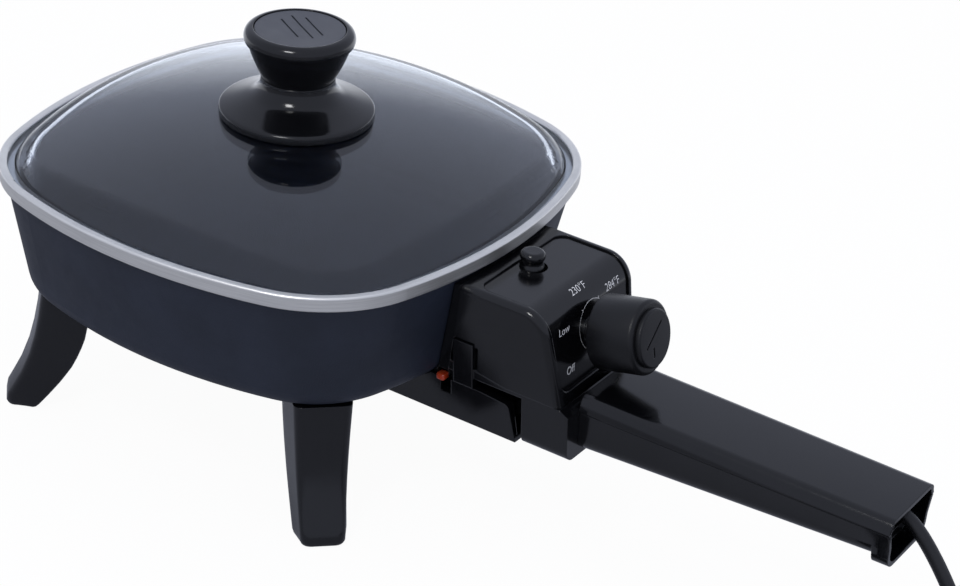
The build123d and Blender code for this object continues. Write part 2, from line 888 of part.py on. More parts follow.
with BuildPart() as pin_shroud:
    with BuildSketch(SIDE):
        with BuildLine():
            Polyline(
                (shroud_rear_x, shroud_bottom_z),
                (shroud_front_x, shroud_bottom_z),
                (shroud_front_x - 3.1, shroud_top_z - 1.2),
                (shroud_front_x - 15, shroud_top_z),
                (shroud_rear_x, shroud_top_z),
                close=True,
            )
        shroud_face = make_face()
        fillet(shroud_face.vertices().sort_by(Axis.X)[-2], 2.6)
    extrude(amount=unit_half_top, both=True)
    add(unit_flanks(0, shroud_rear_x, shroud_front_x), mode=Mode.INTERSECT)
    with BuildSketch(SIDE):
        with BuildLine():
            Polyline(
                (shroud_rear_x - 5, shroud_floor_z),
                (shroud_front_x + 5, shroud_floor_z),
                (shroud_front_x + 5, shroud_roof_z),
                (shroud_rear_x - 5, shroud_roof_z),
                close=True,
            )
        make_face()
    extrude(amount=unit_half(shroud_floor_z) - shroud_wall, both=True, mode=Mode.SUBTRACT)
    with BuildSketch(level(shroud_bottom_z)):
        with Locations(*shroud_screw_places):
            Circle(shroud_wall + small_screw_radius)
    extrude(amount=pan_bottom_z - seat_gap - shroud_bottom_z)
    add(pan_cutter, mode=Mode.SUBTRACT)
    with BuildSketch(level(shroud_bottom_z)):
        with Locations(*shroud_screw_places):
            Circle(small_screw_radius + fit_gap)
    extrude(amount=pan_bottom_z - shroud_bottom_z, mode=Mode.SUBTRACT)
    with BuildSketch(level(shroud_bottom_z)):
        with Locations(*shroud_screw_places):
            Circle(2 * small_screw_radius)
    extrude(amount=shroud_wall, mode=Mode.SUBTRACT)
    with BuildSketch(level(lens_low_z)):
        with Locations((lens_x, lens_y)):
            Rectangle(lens_length + 2 * fit_gap, lens_width + 2 * fit_gap)
    extrude(amount=shroud_top_z, mode=Mode.SUBTRACT)
save(pin_shroud, "pin_shroud")

plate_low_z = shroud_top_z + fit_gap
plate_top_z = unit_top_z - 0.6
with BuildPart() as wall_plate:
    with BuildSketch(SIDE):
        with BuildLine():
            Polyline(
                (pan_rim_half - 20, plate_low_z),
                (unit_rear(plate_low_z) - seat_gap, plate_low_z),
                (unit_rear(plate_top_z) - seat_gap, plate_top_z),
                (pan_rim_half - 20, plate_top_z),
                close=True,
            )
        make_face()
    extrude(amount=unit_half_top, both=True)
    add(unit_flanks(plate_side_inset, 0, 200), mode=Mode.INTERSECT)
    with BuildSketch(level(tongue_z)):
        with BuildLine():
            Polyline(
                (pan_rim_half - 5, -tongue_half),
                (button_x + tongue_half, -tongue_half),
                (button_x + tongue_half, tongue_half),
                (pan_rim_half - 5, tongue_half),
                close=True,
            )
        make_face()
        with Locations((button_x, 0)):
            Circle(plunger_radius + slide_gap, mode=Mode.SUBTRACT)
        with Locations((button_x + tongue_half, 0)):
            Rectangle(2 * tongue_half, 2 * (plunger_radius + slide_gap), mode=Mode.SUBTRACT)
    extrude(amount=tongue_thickness)
    add(pan_cutter, mode=Mode.SUBTRACT)
    with BuildSketch(level(shroud_top_z)):
        with Locations((lens_x, lens_y - 2)):
            Rectangle(lens_length + 4, lens_width + 6)
    extrude(amount=lens_top_z + 1 - shroud_top_z, mode=Mode.SUBTRACT)
save(wall_plate, "wall_plate")

with BuildPart() as indicator_lens:
    with BuildSketch(level(lens_low_z)):
        with Locations((lens_x, lens_y)):
            RectangleRounded(lens_length, lens_width, 1.0)
    extrude(amount=lens_top_z - lens_low_z)
    fillet(indicator_lens.edges().group_by(Axis.Z)[-1], 0.9)
save(indicator_lens, "indicator_lens")

with BuildPart() as shroud_screws:
    with BuildSketch(level(shroud_bottom_z + 0.3)):
        with Locations(*shroud_screw_places):
            Circle(2 * small_screw_radius - 0.2)
    extrude(amount=shroud_wall - 0.3)
    with BuildSketch(level(shroud_bottom_z + 0.3)):
        with Locations(*shroud_screw_places):
            Circle(small_screw_radius)
    extrude(amount=pan_bottom_z + floor_hole_depth - fit_gap - shroud_bottom_z - 0.3)
save(shroud_screws, "shroud_screws")

# ---------------------------------------------------------------- contact block, sleeves and probe

sleeve_radius = pin_radius + 0.35 + sleeve_wall
pin_places = [(-element_leg_y, element_z), (element_leg_y, element_z)]
sleeve_length = 20.0

with BuildPart() as contact_block:
    with BuildSketch(station(block_nose_x)):
        with Locations((0, element_z)):
            RectangleRounded(2 * block_half, block_height, 1.5)
    extrude(amount=block_flange_x - block_nose_x)
    with BuildSketch(station(block_flange_x)):
        with Locations((0, element_z)):
            RectangleRounded(2 * block_half + 5, block_height + 4, 1.5)
    extrude(amount=block_flange)
    with BuildSketch(station(block_nose_x)):
        with Locations(*pin_places):
            Circle(sleeve_radius + running_gap)
    extrude(amount=sleeve_length, mode=Mode.SUBTRACT)
    with BuildSketch(station(block_nose_x)):
        with Locations((0, element_z)):
            Circle(probe_radius + running_gap)
    extrude(amount=block_flange_x + block_flange - block_nose_x, mode=Mode.SUBTRACT)
save(contact_block, "contact_block")

with BuildPart() as contact_sleeves:
    with BuildSketch(station(block_nose_x + 0.4)):
        with Locations(*pin_places):
            Circle(sleeve_radius)
            Circle(sleeve_radius - sleeve_wall, mode=Mode.SUBTRACT)
    extrude(amount=sleeve_length - 0.6)
save(contact_sleeves, "contact_sleeves")

with BuildPart() as thermostat_probe:
    with BuildSketch(station(probe_tip_x)):
        with Locations((0, element_z)):
            Circle(probe_radius)
    extrude(amount=block_flange_x + block_flange + 3 - probe_tip_x)
    fillet(thermostat_probe.edges().group_by(Axis.X)[0], probe_radius * 0.7)
save(thermostat_probe, "thermostat_probe")

# ---------------------------------------------------------------- thermostat, shaft and dial

with BuildPart() as thermostat:
    with BuildSketch(dial_plane(wall_back - 0.6)):
        Circle(thermostat_radius)
        with Locations((0, -thermostat_radius)):
            Rectangle(2 * thermostat_radius, 5, mode=Mode.SUBTRACT)
    extrude(amount=-thermostat_depth)
    with BuildSketch(dial_plane(wall_back - 0.6)):
        Circle(bushing_radius)
    extrude(amount=panel_surface - wall_back + 0.6)
    with BuildSketch(dial_plane(panel_surface)):
        Circle(shaft_radius + running_gap)
    extrude(amount=wall_back - panel_surface - 8, mode=Mode.SUBTRACT)
save(thermostat, "thermostat")

hub_back = panel_surface + 0.5
dial_back = -dial_length
dial_wall = 2.2
shaft_end = -4.0

with BuildPart() as dial_shaft:
    with BuildSketch(dial_plane(wall_back - 7)):
        Circle(shaft_radius)
    extrude(amount=shaft_end - wall_back + 7)
save(dial_shaft, "dial_shaft")

with BuildPart() as dial_knob:
    with BuildSketch(dial_plane(dial_back)):
        Circle(dial_radius)
    extrude(amount=dial_length)
    chamfer(dial_knob.edges().sort_by(lambda edge: edge.center().X)[-1], 1.5, 1.0)
    with BuildSketch(dial_plane(dial_back)):
        Circle(dial_radius - dial_wall)
    extrude(amount=dial_length - 5, mode=Mode.SUBTRACT)
    with BuildSketch(dial_plane(hub_back)):
        Circle(dial_hub_radius)
    extrude(amount=-hub_back - 3)
    with BuildSketch(dial_plane(hub_back)):
        Circle(shaft_radius + running_gap)
    extrude(amount=shaft_end - hub_back + 0.5, mode=Mode.SUBTRACT)
save(dial_knob, "dial_knob")

with BuildPart() as dial_cap:
    with BuildSketch(dial_plane(0)):
        Circle(dial_cap_radius)
    extrude(amount=dial_cap_proud)
    fillet(dial_cap.edges().sort_by(lambda edge: edge.center().X)[-1], 0.6)
    with BuildSketch(dial_plane(dial_cap_proud)):
        with Locations(Location((2.2, -1.0), 38)):
            SlotOverall(11.5, 0.8)
        with Locations(Location((1.0, 5.6), 90)):
            SlotOverall(4.4, 0.8)
    extrude(amount=-0.5, mode=Mode.SUBTRACT)
save(dial_cap, "dial_cap")

# ---------------------------------------------------------------- release button

plunger_low_z = parting_rear_z + 11.0
button_low_z = unit_top_z - unit_wall - 3.0
button_top_z = unit_top_z + button_rise

with BuildPart() as release_button:
    with BuildSketch(Plane(origin=(pan_x + button_x, 0, 0), x_dir=(1, 0, 0), z_dir=(0, -1, 0))):
        with BuildLine():
            Polyline(
                (0, button_low_z),
                (button_radius + 1.0, button_low_z),
                (button_radius + 1.0, unit_top_z - unit_wall - seat_gap),
                (button_radius, unit_top_z - unit_wall - seat_gap),
                (button_radius, unit_top_z + 1.5),
            )
            ThreePointArc(
                (button_radius, unit_top_z + 1.5),
                (button_radius - 0.5, unit_top_z + 3.2),
                (button_radius, unit_top_z + 4.6),
            )
            Polyline((button_radius, unit_top_z + 4.6), (button_radius, button_top_z - 1.2))
            ThreePointArc(
                (button_radius, button_top_z - 1.2),
                (button_radius - 0.4, button_top_z - 0.4),
                (button_radius - 1.4, button_top_z),
            )
            Polyline((button_radius - 1.4, button_top_z), (0, button_top_z), (0, button_low_z))
        make_face()
    revolve(axis=Axis((pan_x + button_x, 0, 0), (0, 0, 1)))
save(release_button, "release_button")

with BuildPart() as button_plunger:
    with BuildSketch(level(plunger_low_z)):
        with Locations((button_x, 0)):
            Circle(plunger_radius)
    extrude(amount=button_low_z - plunger_low_z)
save(button_plunger, "button_plunger")

spring_low_z = parting_rear_z + spring_wire / 2 + fit_gap
spring_length = plunger_low_z - spring_wire / 2 - fit_gap - spring_low_z
with BuildPart() as button_spring:
    with BuildLine() as spring_line:
        Helix(
            pitch=spring_length / spring_turns,
            height=spring_length,
            radius=spring_radius,
            center=(pan_x + button_x, 0, spring_low_z),
        )
    with BuildSketch(Plane(origin=spring_line.line @ 0, z_dir=spring_line.line % 0)):
        Circle(spring_wire / 2)
    sweep(path=spring_line.line)
save(button_spring, "button_spring")

# ---------------------------------------------------------------- handle

handle_root_x = collar_front_x
handle_length = handle_end_x - handle_root_x
handle_lean = 0.86


def handle_section(x, inset):
    """Cross-section of the handle at x: flat top, sides leaning inwards to the bottom."""
    along = (x - handle_root_x) / handle_length
    half = handle_half_root + (handle_half_end - handle_half_root) * along - inset
    top = handle_top_root + (handle_top_end - handle_top_root) * along - inset
    bottom = handle_bottom_root + (handle_bottom_end - handle_bottom_root) * along + inset
    with BuildSketch(station(x)) as section:
        with BuildLine():
            Polyline(
                (-half * handle_lean, bottom),
                (half * handle_lean, bottom),
                (half, top),
                (-half, top),
                close=True,
            )
        make_face()
        fillet(section.vertices(), handle_edge - inset * 0.6)
    return section.sketch


def handle_form(start_x, end_x, inset):
    """Solid between two of the handle's cross-sections."""
    with BuildPart() as blank:
        loft([handle_section(start_x, inset).face(), handle_section(end_x, inset).face()])
    return blank.part


handle_outer = handle_form(handle_root_x, handle_end_x, 0)
handle_inner = handle_form(handle_root_x + 3, handle_end_x + 5, handle_wall)
post_places = [(handle_root_x + 24, 0), (handle_root_x + 50, 0)]
post_radius = 3.8
handle_screw_radius = 1.5
handle_screw_seat_z = handle_bottom_end + 2.4
wire_window = 9.0

with BuildPart() as handle_posts:
    with BuildSketch(level(handle_bottom_root)):
        with Locations(*post_places):
            Circle(post_radius)
    extrude(amount=handle_top_root - handle_bottom_root)
    add(handle_form(handle_root_x, handle_end_x, handle_wall / 2), mode=Mode.INTERSECT)

with BuildPart() as handle_upper:
    add(handle_outer)
    add(handle_inner, mode=Mode.SUBTRACT)
    add(handle_posts)
    with BuildSketch(level(handle_parting_z)):
        with Locations((handle_root_x + handle_length / 2, 0)):
            Rectangle(handle_length + 20, 80)
    extrude(amount=-40, mode=Mode.SUBTRACT)
    with BuildSketch(level(handle_parting_z)):
        with Locations(*post_places):
            Circle(handle_screw_radius + running_gap)
    extrude(amount=handle_top_end - handle_parting_z - handle_wall, mode=Mode.SUBTRACT)
save(handle_upper, "handle_upper")

with BuildPart() as handle_lower:
    add(handle_outer)
    add(handle_inner, mode=Mode.SUBTRACT)
    add(handle_posts)
    with BuildSketch(level(handle_parting_z - fit_gap)):
        with Locations((handle_root_x + handle_length / 2, 0)):
            Rectangle(handle_length + 20, 80)
    extrude(amount=40, mode=Mode.SUBTRACT)
    with BuildSketch(station(handle_end_x)):
        with Locations((0, handle_bottom_end)):
            Rectangle(2 * handle_half_end * handle_lean - 2 * handle_edge, 2 * foot_step_drop)
    extrude(amount=-foot_step_length)
    add(handle_form(handle_end_x - 2 * foot_step_length, handle_end_x + 5, handle_wall), mode=Mode.SUBTRACT)
    with BuildSketch(level(handle_parting_z)):
        with Locations(*post_places):
            Circle(handle_screw_radius + fit_gap)
    extrude(amount=handle_screw_seat_z - 1 - handle_parting_z, mode=Mode.SUBTRACT)
    with BuildSketch(level(handle_screw_seat_z)):
        with Locations(*post_places):
            Circle(2 * handle_screw_radius)
    extrude(amount=-20, mode=Mode.SUBTRACT)
    with BuildSketch(station(handle_root_x + 4)):
        with Locations((0, (tenon_low_z + tenon_high_z) / 2)):
            Rectangle(2 * tenon_half, tenon_high_z - tenon_low_z)
    extrude(amount=-tenon_length - 4)
    with BuildSketch(station(handle_root_x + 6)):
        with Locations((0, (tenon_low_z + tenon_high_z) / 2)):
            Rectangle(2 * wire_window, tenon_high_z - tenon_low_z - 4)
    extrude(amount=-tenon_length - 10, mode=Mode.SUBTRACT)
save(handle_lower, "handle_lower")

with BuildPart() as handle_screws:
    with BuildSketch(level(handle_screw_seat_z)):
        with Locations(*post_places):
            Circle(2 * handle_screw_radius - fit_gap)
    extrude(amount=-2)
    with BuildSketch(level(handle_screw_seat_z)):
        with Locations(*post_places):
            Circle(handle_screw_radius)
    extrude(amount=handle_top_end - handle_wall - 0.5 - handle_screw_seat_z)
save(handle_screws, "handle_screws")

# ---------------------------------------------------------------- power cord

relief_start_x = relief_end_x - relief_length
relief_half = cord_radius + 2.4

with BuildPart() as strain_relief:
    with BuildSketch(station(relief_start_x)):
        with Locations((cord_y, cord_z)):
            RectangleRounded(2 * relief_half, 2 * cord_radius + 1.2, 2.2)
    with BuildSketch(station(relief_end_x)):
        with Locations((cord_y, cord_z)):
            RectangleRounded(2 * cord_radius + 1.0, 2 * cord_radius + 1.0, cord_radius)
    loft()
    with BuildSketch(station(relief_start_x)):
        with Locations((cord_y, cord_z)):
            RectangleRounded(2 * relief_half + 2, 2 * cord_radius + 1.6, 1.5)
    extrude(amount=-2.4)
save(strain_relief, "strain_relief")

# The cord's route: out of the handle's open end, down to the table and round to the coil.
cord_floor_z = cord_radius + 0.2
cord_points = [
    (relief_end_x, cord_y, cord_z),
    (243.2, 3.5, 54.4),
    (254.5, 3.5, 50.4),
    (265.5, 3.5, 38.5),
    (276.5, 3.0, 22.5),
    (286.0, -1.5, 10.5),
    (295.5, -10.5, 4.0),
    (301.0, -25.0, cord_floor_z),
    (299.0, -42.0, cord_floor_z),
    (292.5, -57.5, cord_floor_z),
]


def fitted_radii(points):
    """Arc radius for each corner of a route: 0.45 of the shorter run over tan(half the turn)."""
    radii = []
    for before, here, after in zip(points, points[1:], points[2:]):
        run_in = Vector(*here) - Vector(*before)
        run_out = Vector(*after) - Vector(*here)
        half_turn = radians(run_in.get_angle(run_out) / 2)
        radii.append(0.45 * min(run_in.length, run_out.length) / tan(half_turn))
    return radii


def route_line(points):
    """Straight runs joined by tangent arcs through a route's points, counted from the pan."""
    placed = [(pan_x + x, y, z) for x, y, z in points]
    with BuildLine() as route:
        FilletPolyline(*placed, radius=fitted_radii(points))
    return route.line


cord_line = route_line(cord_points)
with BuildPart() as cord:
    with BuildSketch(Plane(origin=cord_line @ 0, z_dir=cord_line % 0)):
        Circle(cord_radius)
    sweep(path=cord_line)
save(cord, "cord")
print("cord radii", [round(radius, 1) for radius in fitted_radii(cord_points)])
cord_length = sum(edge.length for edge in cord_line.edges())
cord_fill = cord.part.volume / (pi * cord_radius**2 * cord_length)
print("cord length", round(cord_length, 1), "volume over section times length", round(cord_fill, 4))

coil_half_band = coil_turns_across * cord_radius + 0.3
coil_height = 4 * cord_radius + 0.6
with BuildPart() as cord_coil:
    with BuildSketch(level(0.1)):
        with Locations((coil_x, coil_y)):
            Circle(coil_radius + coil_half_band)
            Circle(coil_radius - coil_half_band, mode=Mode.SUBTRACT)
    extrude(amount=coil_height - 0.1)
    fillet(cord_coil.edges(), 2.2)
save(cord_coil, "cord_coil")

plug_y = coil_y - coil_radius - cord_radius
plug_z = 3 * cord_radius + 0.3
plug_rear_x = coil_x - 18.0
plug_body_x = plug_rear_x - plug_relief
plug_face_x = plug_body_x - plug_length


def plug_station(x):
    """Plane across the plug, facing away from its blades."""
    return Plane(origin=(pan_x + x, plug_y, plug_z), x_dir=(0, 1, 0), z_dir=(1, 0, 0))


with BuildPart() as plug_body:
    with BuildSketch(plug_station(plug_face_x)):
        RectangleRounded(plug_width, plug_thickness - 0.4, 4)
    with BuildSketch(plug_station(plug_body_x - plug_length * 0.3)):
        RectangleRounded(plug_width - 3, plug_thickness - 1.4, 4)
    with BuildSketch(plug_station(plug_body_x)):
        RectangleRounded(2 * cord_radius + 4, 2 * cord_radius + 3, 3)
    with BuildSketch(plug_station(plug_rear_x)):
        RectangleRounded(2 * cord_radius + 1, 2 * cord_radius + 1, cord_radius)
    loft(ruled=True)
save(plug_body, "plug_body")

with BuildPart() as plug_blades:
    with BuildSketch(plug_station(plug_face_x)):
        with GridLocations(blade_spacing, 0, 2, 1):
            Rectangle(blade_thickness, blade_width)
    extrude(amount=-blade_length)
    chamfer(plug_blades.edges().filter_by(Axis.Y).group_by(Axis.X)[0], blade_thickness / 4)
save(plug_blades, "plug_blades")


def lead_wire(side):
    """One insulated lead from the cord's end, through the handle, up to the thermostat."""
    start = relief_start_x - 2.6
    points = [
        (start, cord_y + side * 1.6, cord_z - 0.3),
        (start - 4, cord_y + side * 1.6, cord_z - 0.6),
        (start - 12, side * 6.4, 51.0),
        (start - 36, side * 6.6, 48.4),
        (handle_root_x + 8, side * 6.6, 46.6),
        (handle_root_x - 8.5, side * 6.6, 46.6),
        (handle_root_x - 12, side * 6.8, 54.0),
        (handle_root_x - 14, side * 6.8, 65.5),
    ]
    line = route_line(points)
    with BuildPart() as wire:
        with BuildSketch(Plane(origin=line @ 0, z_dir=line % 0)):
            Circle(1.1)
        sweep(path=line)
    return wire.part


with BuildPart() as lead_wires:
    add(lead_wire(-1))
    add(lead_wire(1))
save(lead_wires, "lead_wires")
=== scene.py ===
import json
import math

import bmesh
import bpy
from mathutils import Matrix, Vector


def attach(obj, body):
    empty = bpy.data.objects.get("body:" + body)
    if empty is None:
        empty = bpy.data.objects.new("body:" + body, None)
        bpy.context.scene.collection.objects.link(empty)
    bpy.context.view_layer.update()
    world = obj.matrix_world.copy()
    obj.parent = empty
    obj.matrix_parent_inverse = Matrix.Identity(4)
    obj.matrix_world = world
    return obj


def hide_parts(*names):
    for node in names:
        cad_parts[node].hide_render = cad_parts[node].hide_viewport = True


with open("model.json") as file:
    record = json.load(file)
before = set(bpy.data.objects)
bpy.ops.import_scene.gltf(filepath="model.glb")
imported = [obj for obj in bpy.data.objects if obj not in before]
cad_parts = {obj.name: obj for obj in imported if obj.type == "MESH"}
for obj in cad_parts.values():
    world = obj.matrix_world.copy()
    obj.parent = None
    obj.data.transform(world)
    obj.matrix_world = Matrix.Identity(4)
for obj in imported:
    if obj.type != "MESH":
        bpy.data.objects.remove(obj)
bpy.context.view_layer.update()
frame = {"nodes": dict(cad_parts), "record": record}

PAN_X = -0.0798


def new_object(name, data):
    """A new object that holds this data, in the scene."""
    made = bpy.data.objects.new(name, data)
    bpy.context.scene.collection.objects.link(made)
    return made


# ---------------------------------------------------------------- camera

# Solved from the photograph: angles in degrees, the place in the frame's metres, lens in mm.
CAMERA_ANGLES = (31.54, 29.09, 4.76)
CAMERA_PLACE = (0.4186, -0.6763, 0.5154)
CAMERA_LENS = 96.56
SENSOR_WIDTH = 36
NEAREST = 0.05

azimuth, elevation, roll = (math.radians(angle) for angle in CAMERA_ANGLES)
back = Vector((
    math.sin(azimuth) * math.cos(elevation),
    -math.cos(azimuth) * math.cos(elevation),
    math.sin(elevation),
))
level_right = Vector((math.cos(azimuth), math.sin(azimuth), 0))
level_up = back.cross(level_right)
right = math.cos(roll) * level_right + math.sin(roll) * level_up
up = -math.sin(roll) * level_right + math.cos(roll) * level_up
camera = new_object("camera", bpy.data.cameras.new("camera"))
camera.data.lens = CAMERA_LENS
camera.data.sensor_width = SENSOR_WIDTH
camera.data.clip_start = NEAREST
camera.matrix_world = Matrix((right, up, back)).transposed().to_4x4()
camera.location = CAMERA_PLACE
bpy.context.scene.camera = camera


# ---------------------------------------------------------------- power cord

def mm(x, y, z):
    """A place counted from the pan's centre in millimetres, as a place in the frame in metres."""
    return Vector((PAN_X + x / 1000, y / 1000, z / 1000))


# The cord from the handle to the coil, then the coil by turns, in millimetres from the pan.
ROUTE = [
    (231.5, 3.5, 54.4), (243.2, 3.5, 54.4), (254.5, 3.5, 50.4), (265.5, 3.5, 38.5),
    (276.5, 3.0, 22.5), (286.0, -1.5, 10.5), (295.5, -10.5, 4.0), (301.0, -25.0, 2.7),
    (299.0, -42.0, 2.7), (292.5, -57.5, 2.7),
]
COIL_CENTRE = (262.0, -50.0)
COIL_START = -14.0
POINTS_A_TURN = 14
RADIUS_ALONG = [(0.0, 31.2), (0.72, 31.2), (1.0, 25.9), (2.15, 25.9), (2.4, 31.2), (4.0, 31.2)]
HEIGHT_ALONG = [(0.0, 2.7), (1.35, 2.7), (1.55, 7.9), (4.0, 7.9)]
COIL_TURNS = 3.17
CORD_RADIUS = 0.0025
# Blender pads a curve's box by its points' radius, so that is small and the bevel makes up for it.
POINT_RADIUS = 0.0025
PLUG_RUN = [(255.0, -80.9, 7.8), (249.0, -80.5, 7.8), (241.0, -80.5, 7.8)]


def between(table, place):
    """The value at a place, read from a list of places and values."""
    for (low, before), (high, after) in zip(table, table[1:]):
        if place <= high:
            return before + (after - before) * max(0.0, place - low) / (high - low)
    return table[-1][1]


def coil_turns():
    """Control points of the wound length: two layers, and the run out to the plug."""
    points = []
    for step in range(1, int(COIL_TURNS * POINTS_A_TURN) + 1):
        turn = step / POINTS_A_TURN
        angle = math.radians(COIL_START - 360 * turn)
        radius = between(RADIUS_ALONG, turn)
        points.append((
            COIL_CENTRE[0] + radius * math.cos(angle),
            COIL_CENTRE[1] + radius * math.sin(angle),
            between(HEIGHT_ALONG, turn),
        ))
    return points + PLUG_RUN


def nurbs(name, points, radius):
    """Round tube along one smooth open spline with these control points."""
    data = bpy.data.curves.new(name, "CURVE")
    data.dimensions = "3D"
    data.bevel_depth = radius / POINT_RADIUS
    data.bevel_resolution = 6
    data.resolution_u = 8
    data.use_fill_caps = True
    spline = data.splines.new("NURBS")
    spline.points.add(len(points) - 1)
    for point, place in zip(spline.points, points):
        point.co = (*place, 1)
        point.radius = POINT_RADIUS
    spline.order_u = 3
    spline.use_endpoint_u = True
    return new_object(name, data)


cord = nurbs("power_cord", [mm(*place) for place in ROUTE + coil_turns()], CORD_RADIUS)
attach(cord, "control")
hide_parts("cord", "cord_coil")


# ---------------------------------------------------------------- materials

def material(name, color, roughness, metallic=0.0, **sockets):
    """A new material with its Principled shader set; returns the material, its tree and shader."""
    made = bpy.data.materials.new(name)
    made.use_nodes = True
    tree = made.node_tree
    shader = tree.nodes["Principled BSDF"]
    shader.inputs["Base Color"].default_value = (*color, 1)
    shader.inputs["Roughness"].default_value = roughness
    shader.inputs["Metallic"].default_value = metallic
    for socket, value in sockets.items():
        shader.inputs[socket.replace("_", " ")].default_value = value
    return made, tree, shader


def add_node(tree, kind, **settings):
    """A node of this kind with its properties or input values set."""
    node = tree.nodes.new(kind)
    for key, value in settings.items():
        if hasattr(node, key):
            setattr(node, key, value)
        else:
            node.inputs[key.replace("_", " ")].default_value = value
    return node


def place_node(tree, scale=(1, 1, 1)):
    """Object coordinates stretched by scale."""
    source = add_node(tree, "ShaderNodeTexCoord")
    mapping = add_node(tree, "ShaderNodeMapping")
    mapping.inputs["Scale"].default_value = scale
    tree.links.new(source.outputs["Object"], mapping.inputs["Vector"])
    return mapping.outputs["Vector"]


def noise(tree, vector, scale, detail=4.0, rough=0.55):
    """Noise pattern; returns its factor."""
    node = add_node(tree, "ShaderNodeTexNoise")
    node.inputs["Scale"].default_value = scale
    node.inputs["Detail"].default_value = detail
    node.inputs["Roughness"].default_value = rough
    tree.links.new(vector, node.inputs["Vector"])
    return node.outputs["Fac"]


NOISE_REACH = (0.25, 0.75)
COLOR_REACH = (0.3, 0.7)


def ramp(tree, factor, low, high):
    """Colours from low to high over the usual reach of a noise factor."""
    node = add_node(tree, "ShaderNodeValToRGB")
    for element, position, color in zip(node.color_ramp.elements, COLOR_REACH, (low, high)):
        element.position = position
        element.color = (*color, 1)
    tree.links.new(factor, node.inputs["Fac"])
    return node.outputs["Color"]


def span(tree, factor, low, high):
    """A factor rescaled to run from low to high."""
    node = add_node(tree, "ShaderNodeMapRange")
    node.inputs["From Min"].default_value, node.inputs["From Max"].default_value = NOISE_REACH
    node.inputs["To Min"].default_value = low
    node.inputs["To Max"].default_value = high
    tree.links.new(factor, node.inputs["Value"])
    return node.outputs["Result"]


def bump(tree, shader, factor, distance, edge=0.0):
    """Bump from a factor into the shader's normal, over edges softened to a small radius."""
    node = add_node(tree, "ShaderNodeBump")
    node.inputs["Distance"].default_value = distance
    tree.links.new(factor, node.inputs["Height"])
    tree.links.new(node.outputs["Normal"], shader.inputs["Normal"])
    if edge:
        soft = add_node(tree, "ShaderNodeBevel")
        soft.samples = 6
        soft.inputs["Radius"].default_value = edge
        tree.links.new(soft.outputs["Normal"], node.inputs["Normal"])


def moulded(name, dark, light, rough_low, rough_high, grain, depth, edge=0.0, **sockets):
    """Moulded plastic or rubber: slight colour drift, uneven gloss and a fine grain."""
    made, tree, shader = material(name, dark, rough_low, **sockets)
    vector = place_node(tree)
    broad = noise(tree, vector, 35, 3)
    tree.links.new(ramp(tree, broad, dark, light), shader.inputs["Base Color"])
    gloss = span(tree, noise(tree, vector, 160, 5), rough_low, rough_high)
    tree.links.new(gloss, shader.inputs["Roughness"])
    bump(tree, shader, noise(tree, vector, grain, 3), depth, edge)
    return made


NONSTICK_SPECULAR = 0.31
INSIDE_SPECULAR = 0.05
INSIDE_ROUGHER = 0.25
FACES_AXIS = 0.0002
FACES_DOWN = -0.5


def faces_inside(tree):
    """1 on faces that look at the pan's axis or up from its floor, and 0 outside and below."""
    geometry = add_node(tree, "ShaderNodeNewGeometry")
    from_axis = add_node(tree, "ShaderNodeVectorMath", operation="SUBTRACT")
    from_axis.inputs[1].default_value = mm(0, 0, 0)
    flat = add_node(tree, "ShaderNodeVectorMath", operation="MULTIPLY")
    flat.inputs[1].default_value = (1, 1, 0)
    outward = add_node(tree, "ShaderNodeVectorMath", operation="DOT_PRODUCT")
    parts = add_node(tree, "ShaderNodeSeparateXYZ")
    inward = add_node(tree, "ShaderNodeMath", operation="LESS_THAN")
    inward.inputs[1].default_value = FACES_AXIS
    not_under = add_node(tree, "ShaderNodeMath", operation="GREATER_THAN")
    not_under.inputs[1].default_value = FACES_DOWN
    inside = add_node(tree, "ShaderNodeMath", operation="MULTIPLY")
    tree.links.new(geometry.outputs["Position"], from_axis.inputs[0])
    tree.links.new(from_axis.outputs[0], flat.inputs[0])
    tree.links.new(flat.outputs[0], outward.inputs[0])
    tree.links.new(geometry.outputs["True Normal"], outward.inputs[1])
    tree.links.new(outward.outputs["Value"], inward.inputs[0])
    tree.links.new(geometry.outputs["True Normal"], parts.inputs[0])
    tree.links.new(parts.outputs["Z"], not_under.inputs[0])
    tree.links.new(inward.outputs[0], inside.inputs[0])
    tree.links.new(not_under.outputs[0], inside.inputs[1])
    return inside.outputs[0]


def dull_inside(made):
    """Make a material rougher and less shiny on the pan's inner faces."""
    tree = made.node_tree
    shader = tree.nodes["Principled BSDF"]
    inside = faces_inside(tree)
    rough_source = shader.inputs["Roughness"].links[0].from_socket
    rougher = add_node(tree, "ShaderNodeMath", operation="MULTIPLY_ADD")
    rougher.inputs[1].default_value = INSIDE_ROUGHER
    tree.links.new(inside, rougher.inputs[0])
    tree.links.new(rough_source, rougher.inputs[2])
    tree.links.new(rougher.outputs[0], shader.inputs["Roughness"])
    duller = add_node(tree, "ShaderNodeMapRange")
    duller.inputs["To Min"].default_value = NONSTICK_SPECULAR
    duller.inputs["To Max"].default_value = INSIDE_SPECULAR
    tree.links.new(inside, duller.inputs["Value"])
    tree.links.new(duller.outputs["Result"], shader.inputs["Specular IOR Level"])


nonstick = moulded(
    "nonstick_coating", (0.0095, 0.013, 0.023), (0.013, 0.0175, 0.031), 0.46, 0.56, 1500, 0.00006,
    Specular_IOR_Level=NONSTICK_SPECULAR,
)
dull_inside(nonstick)

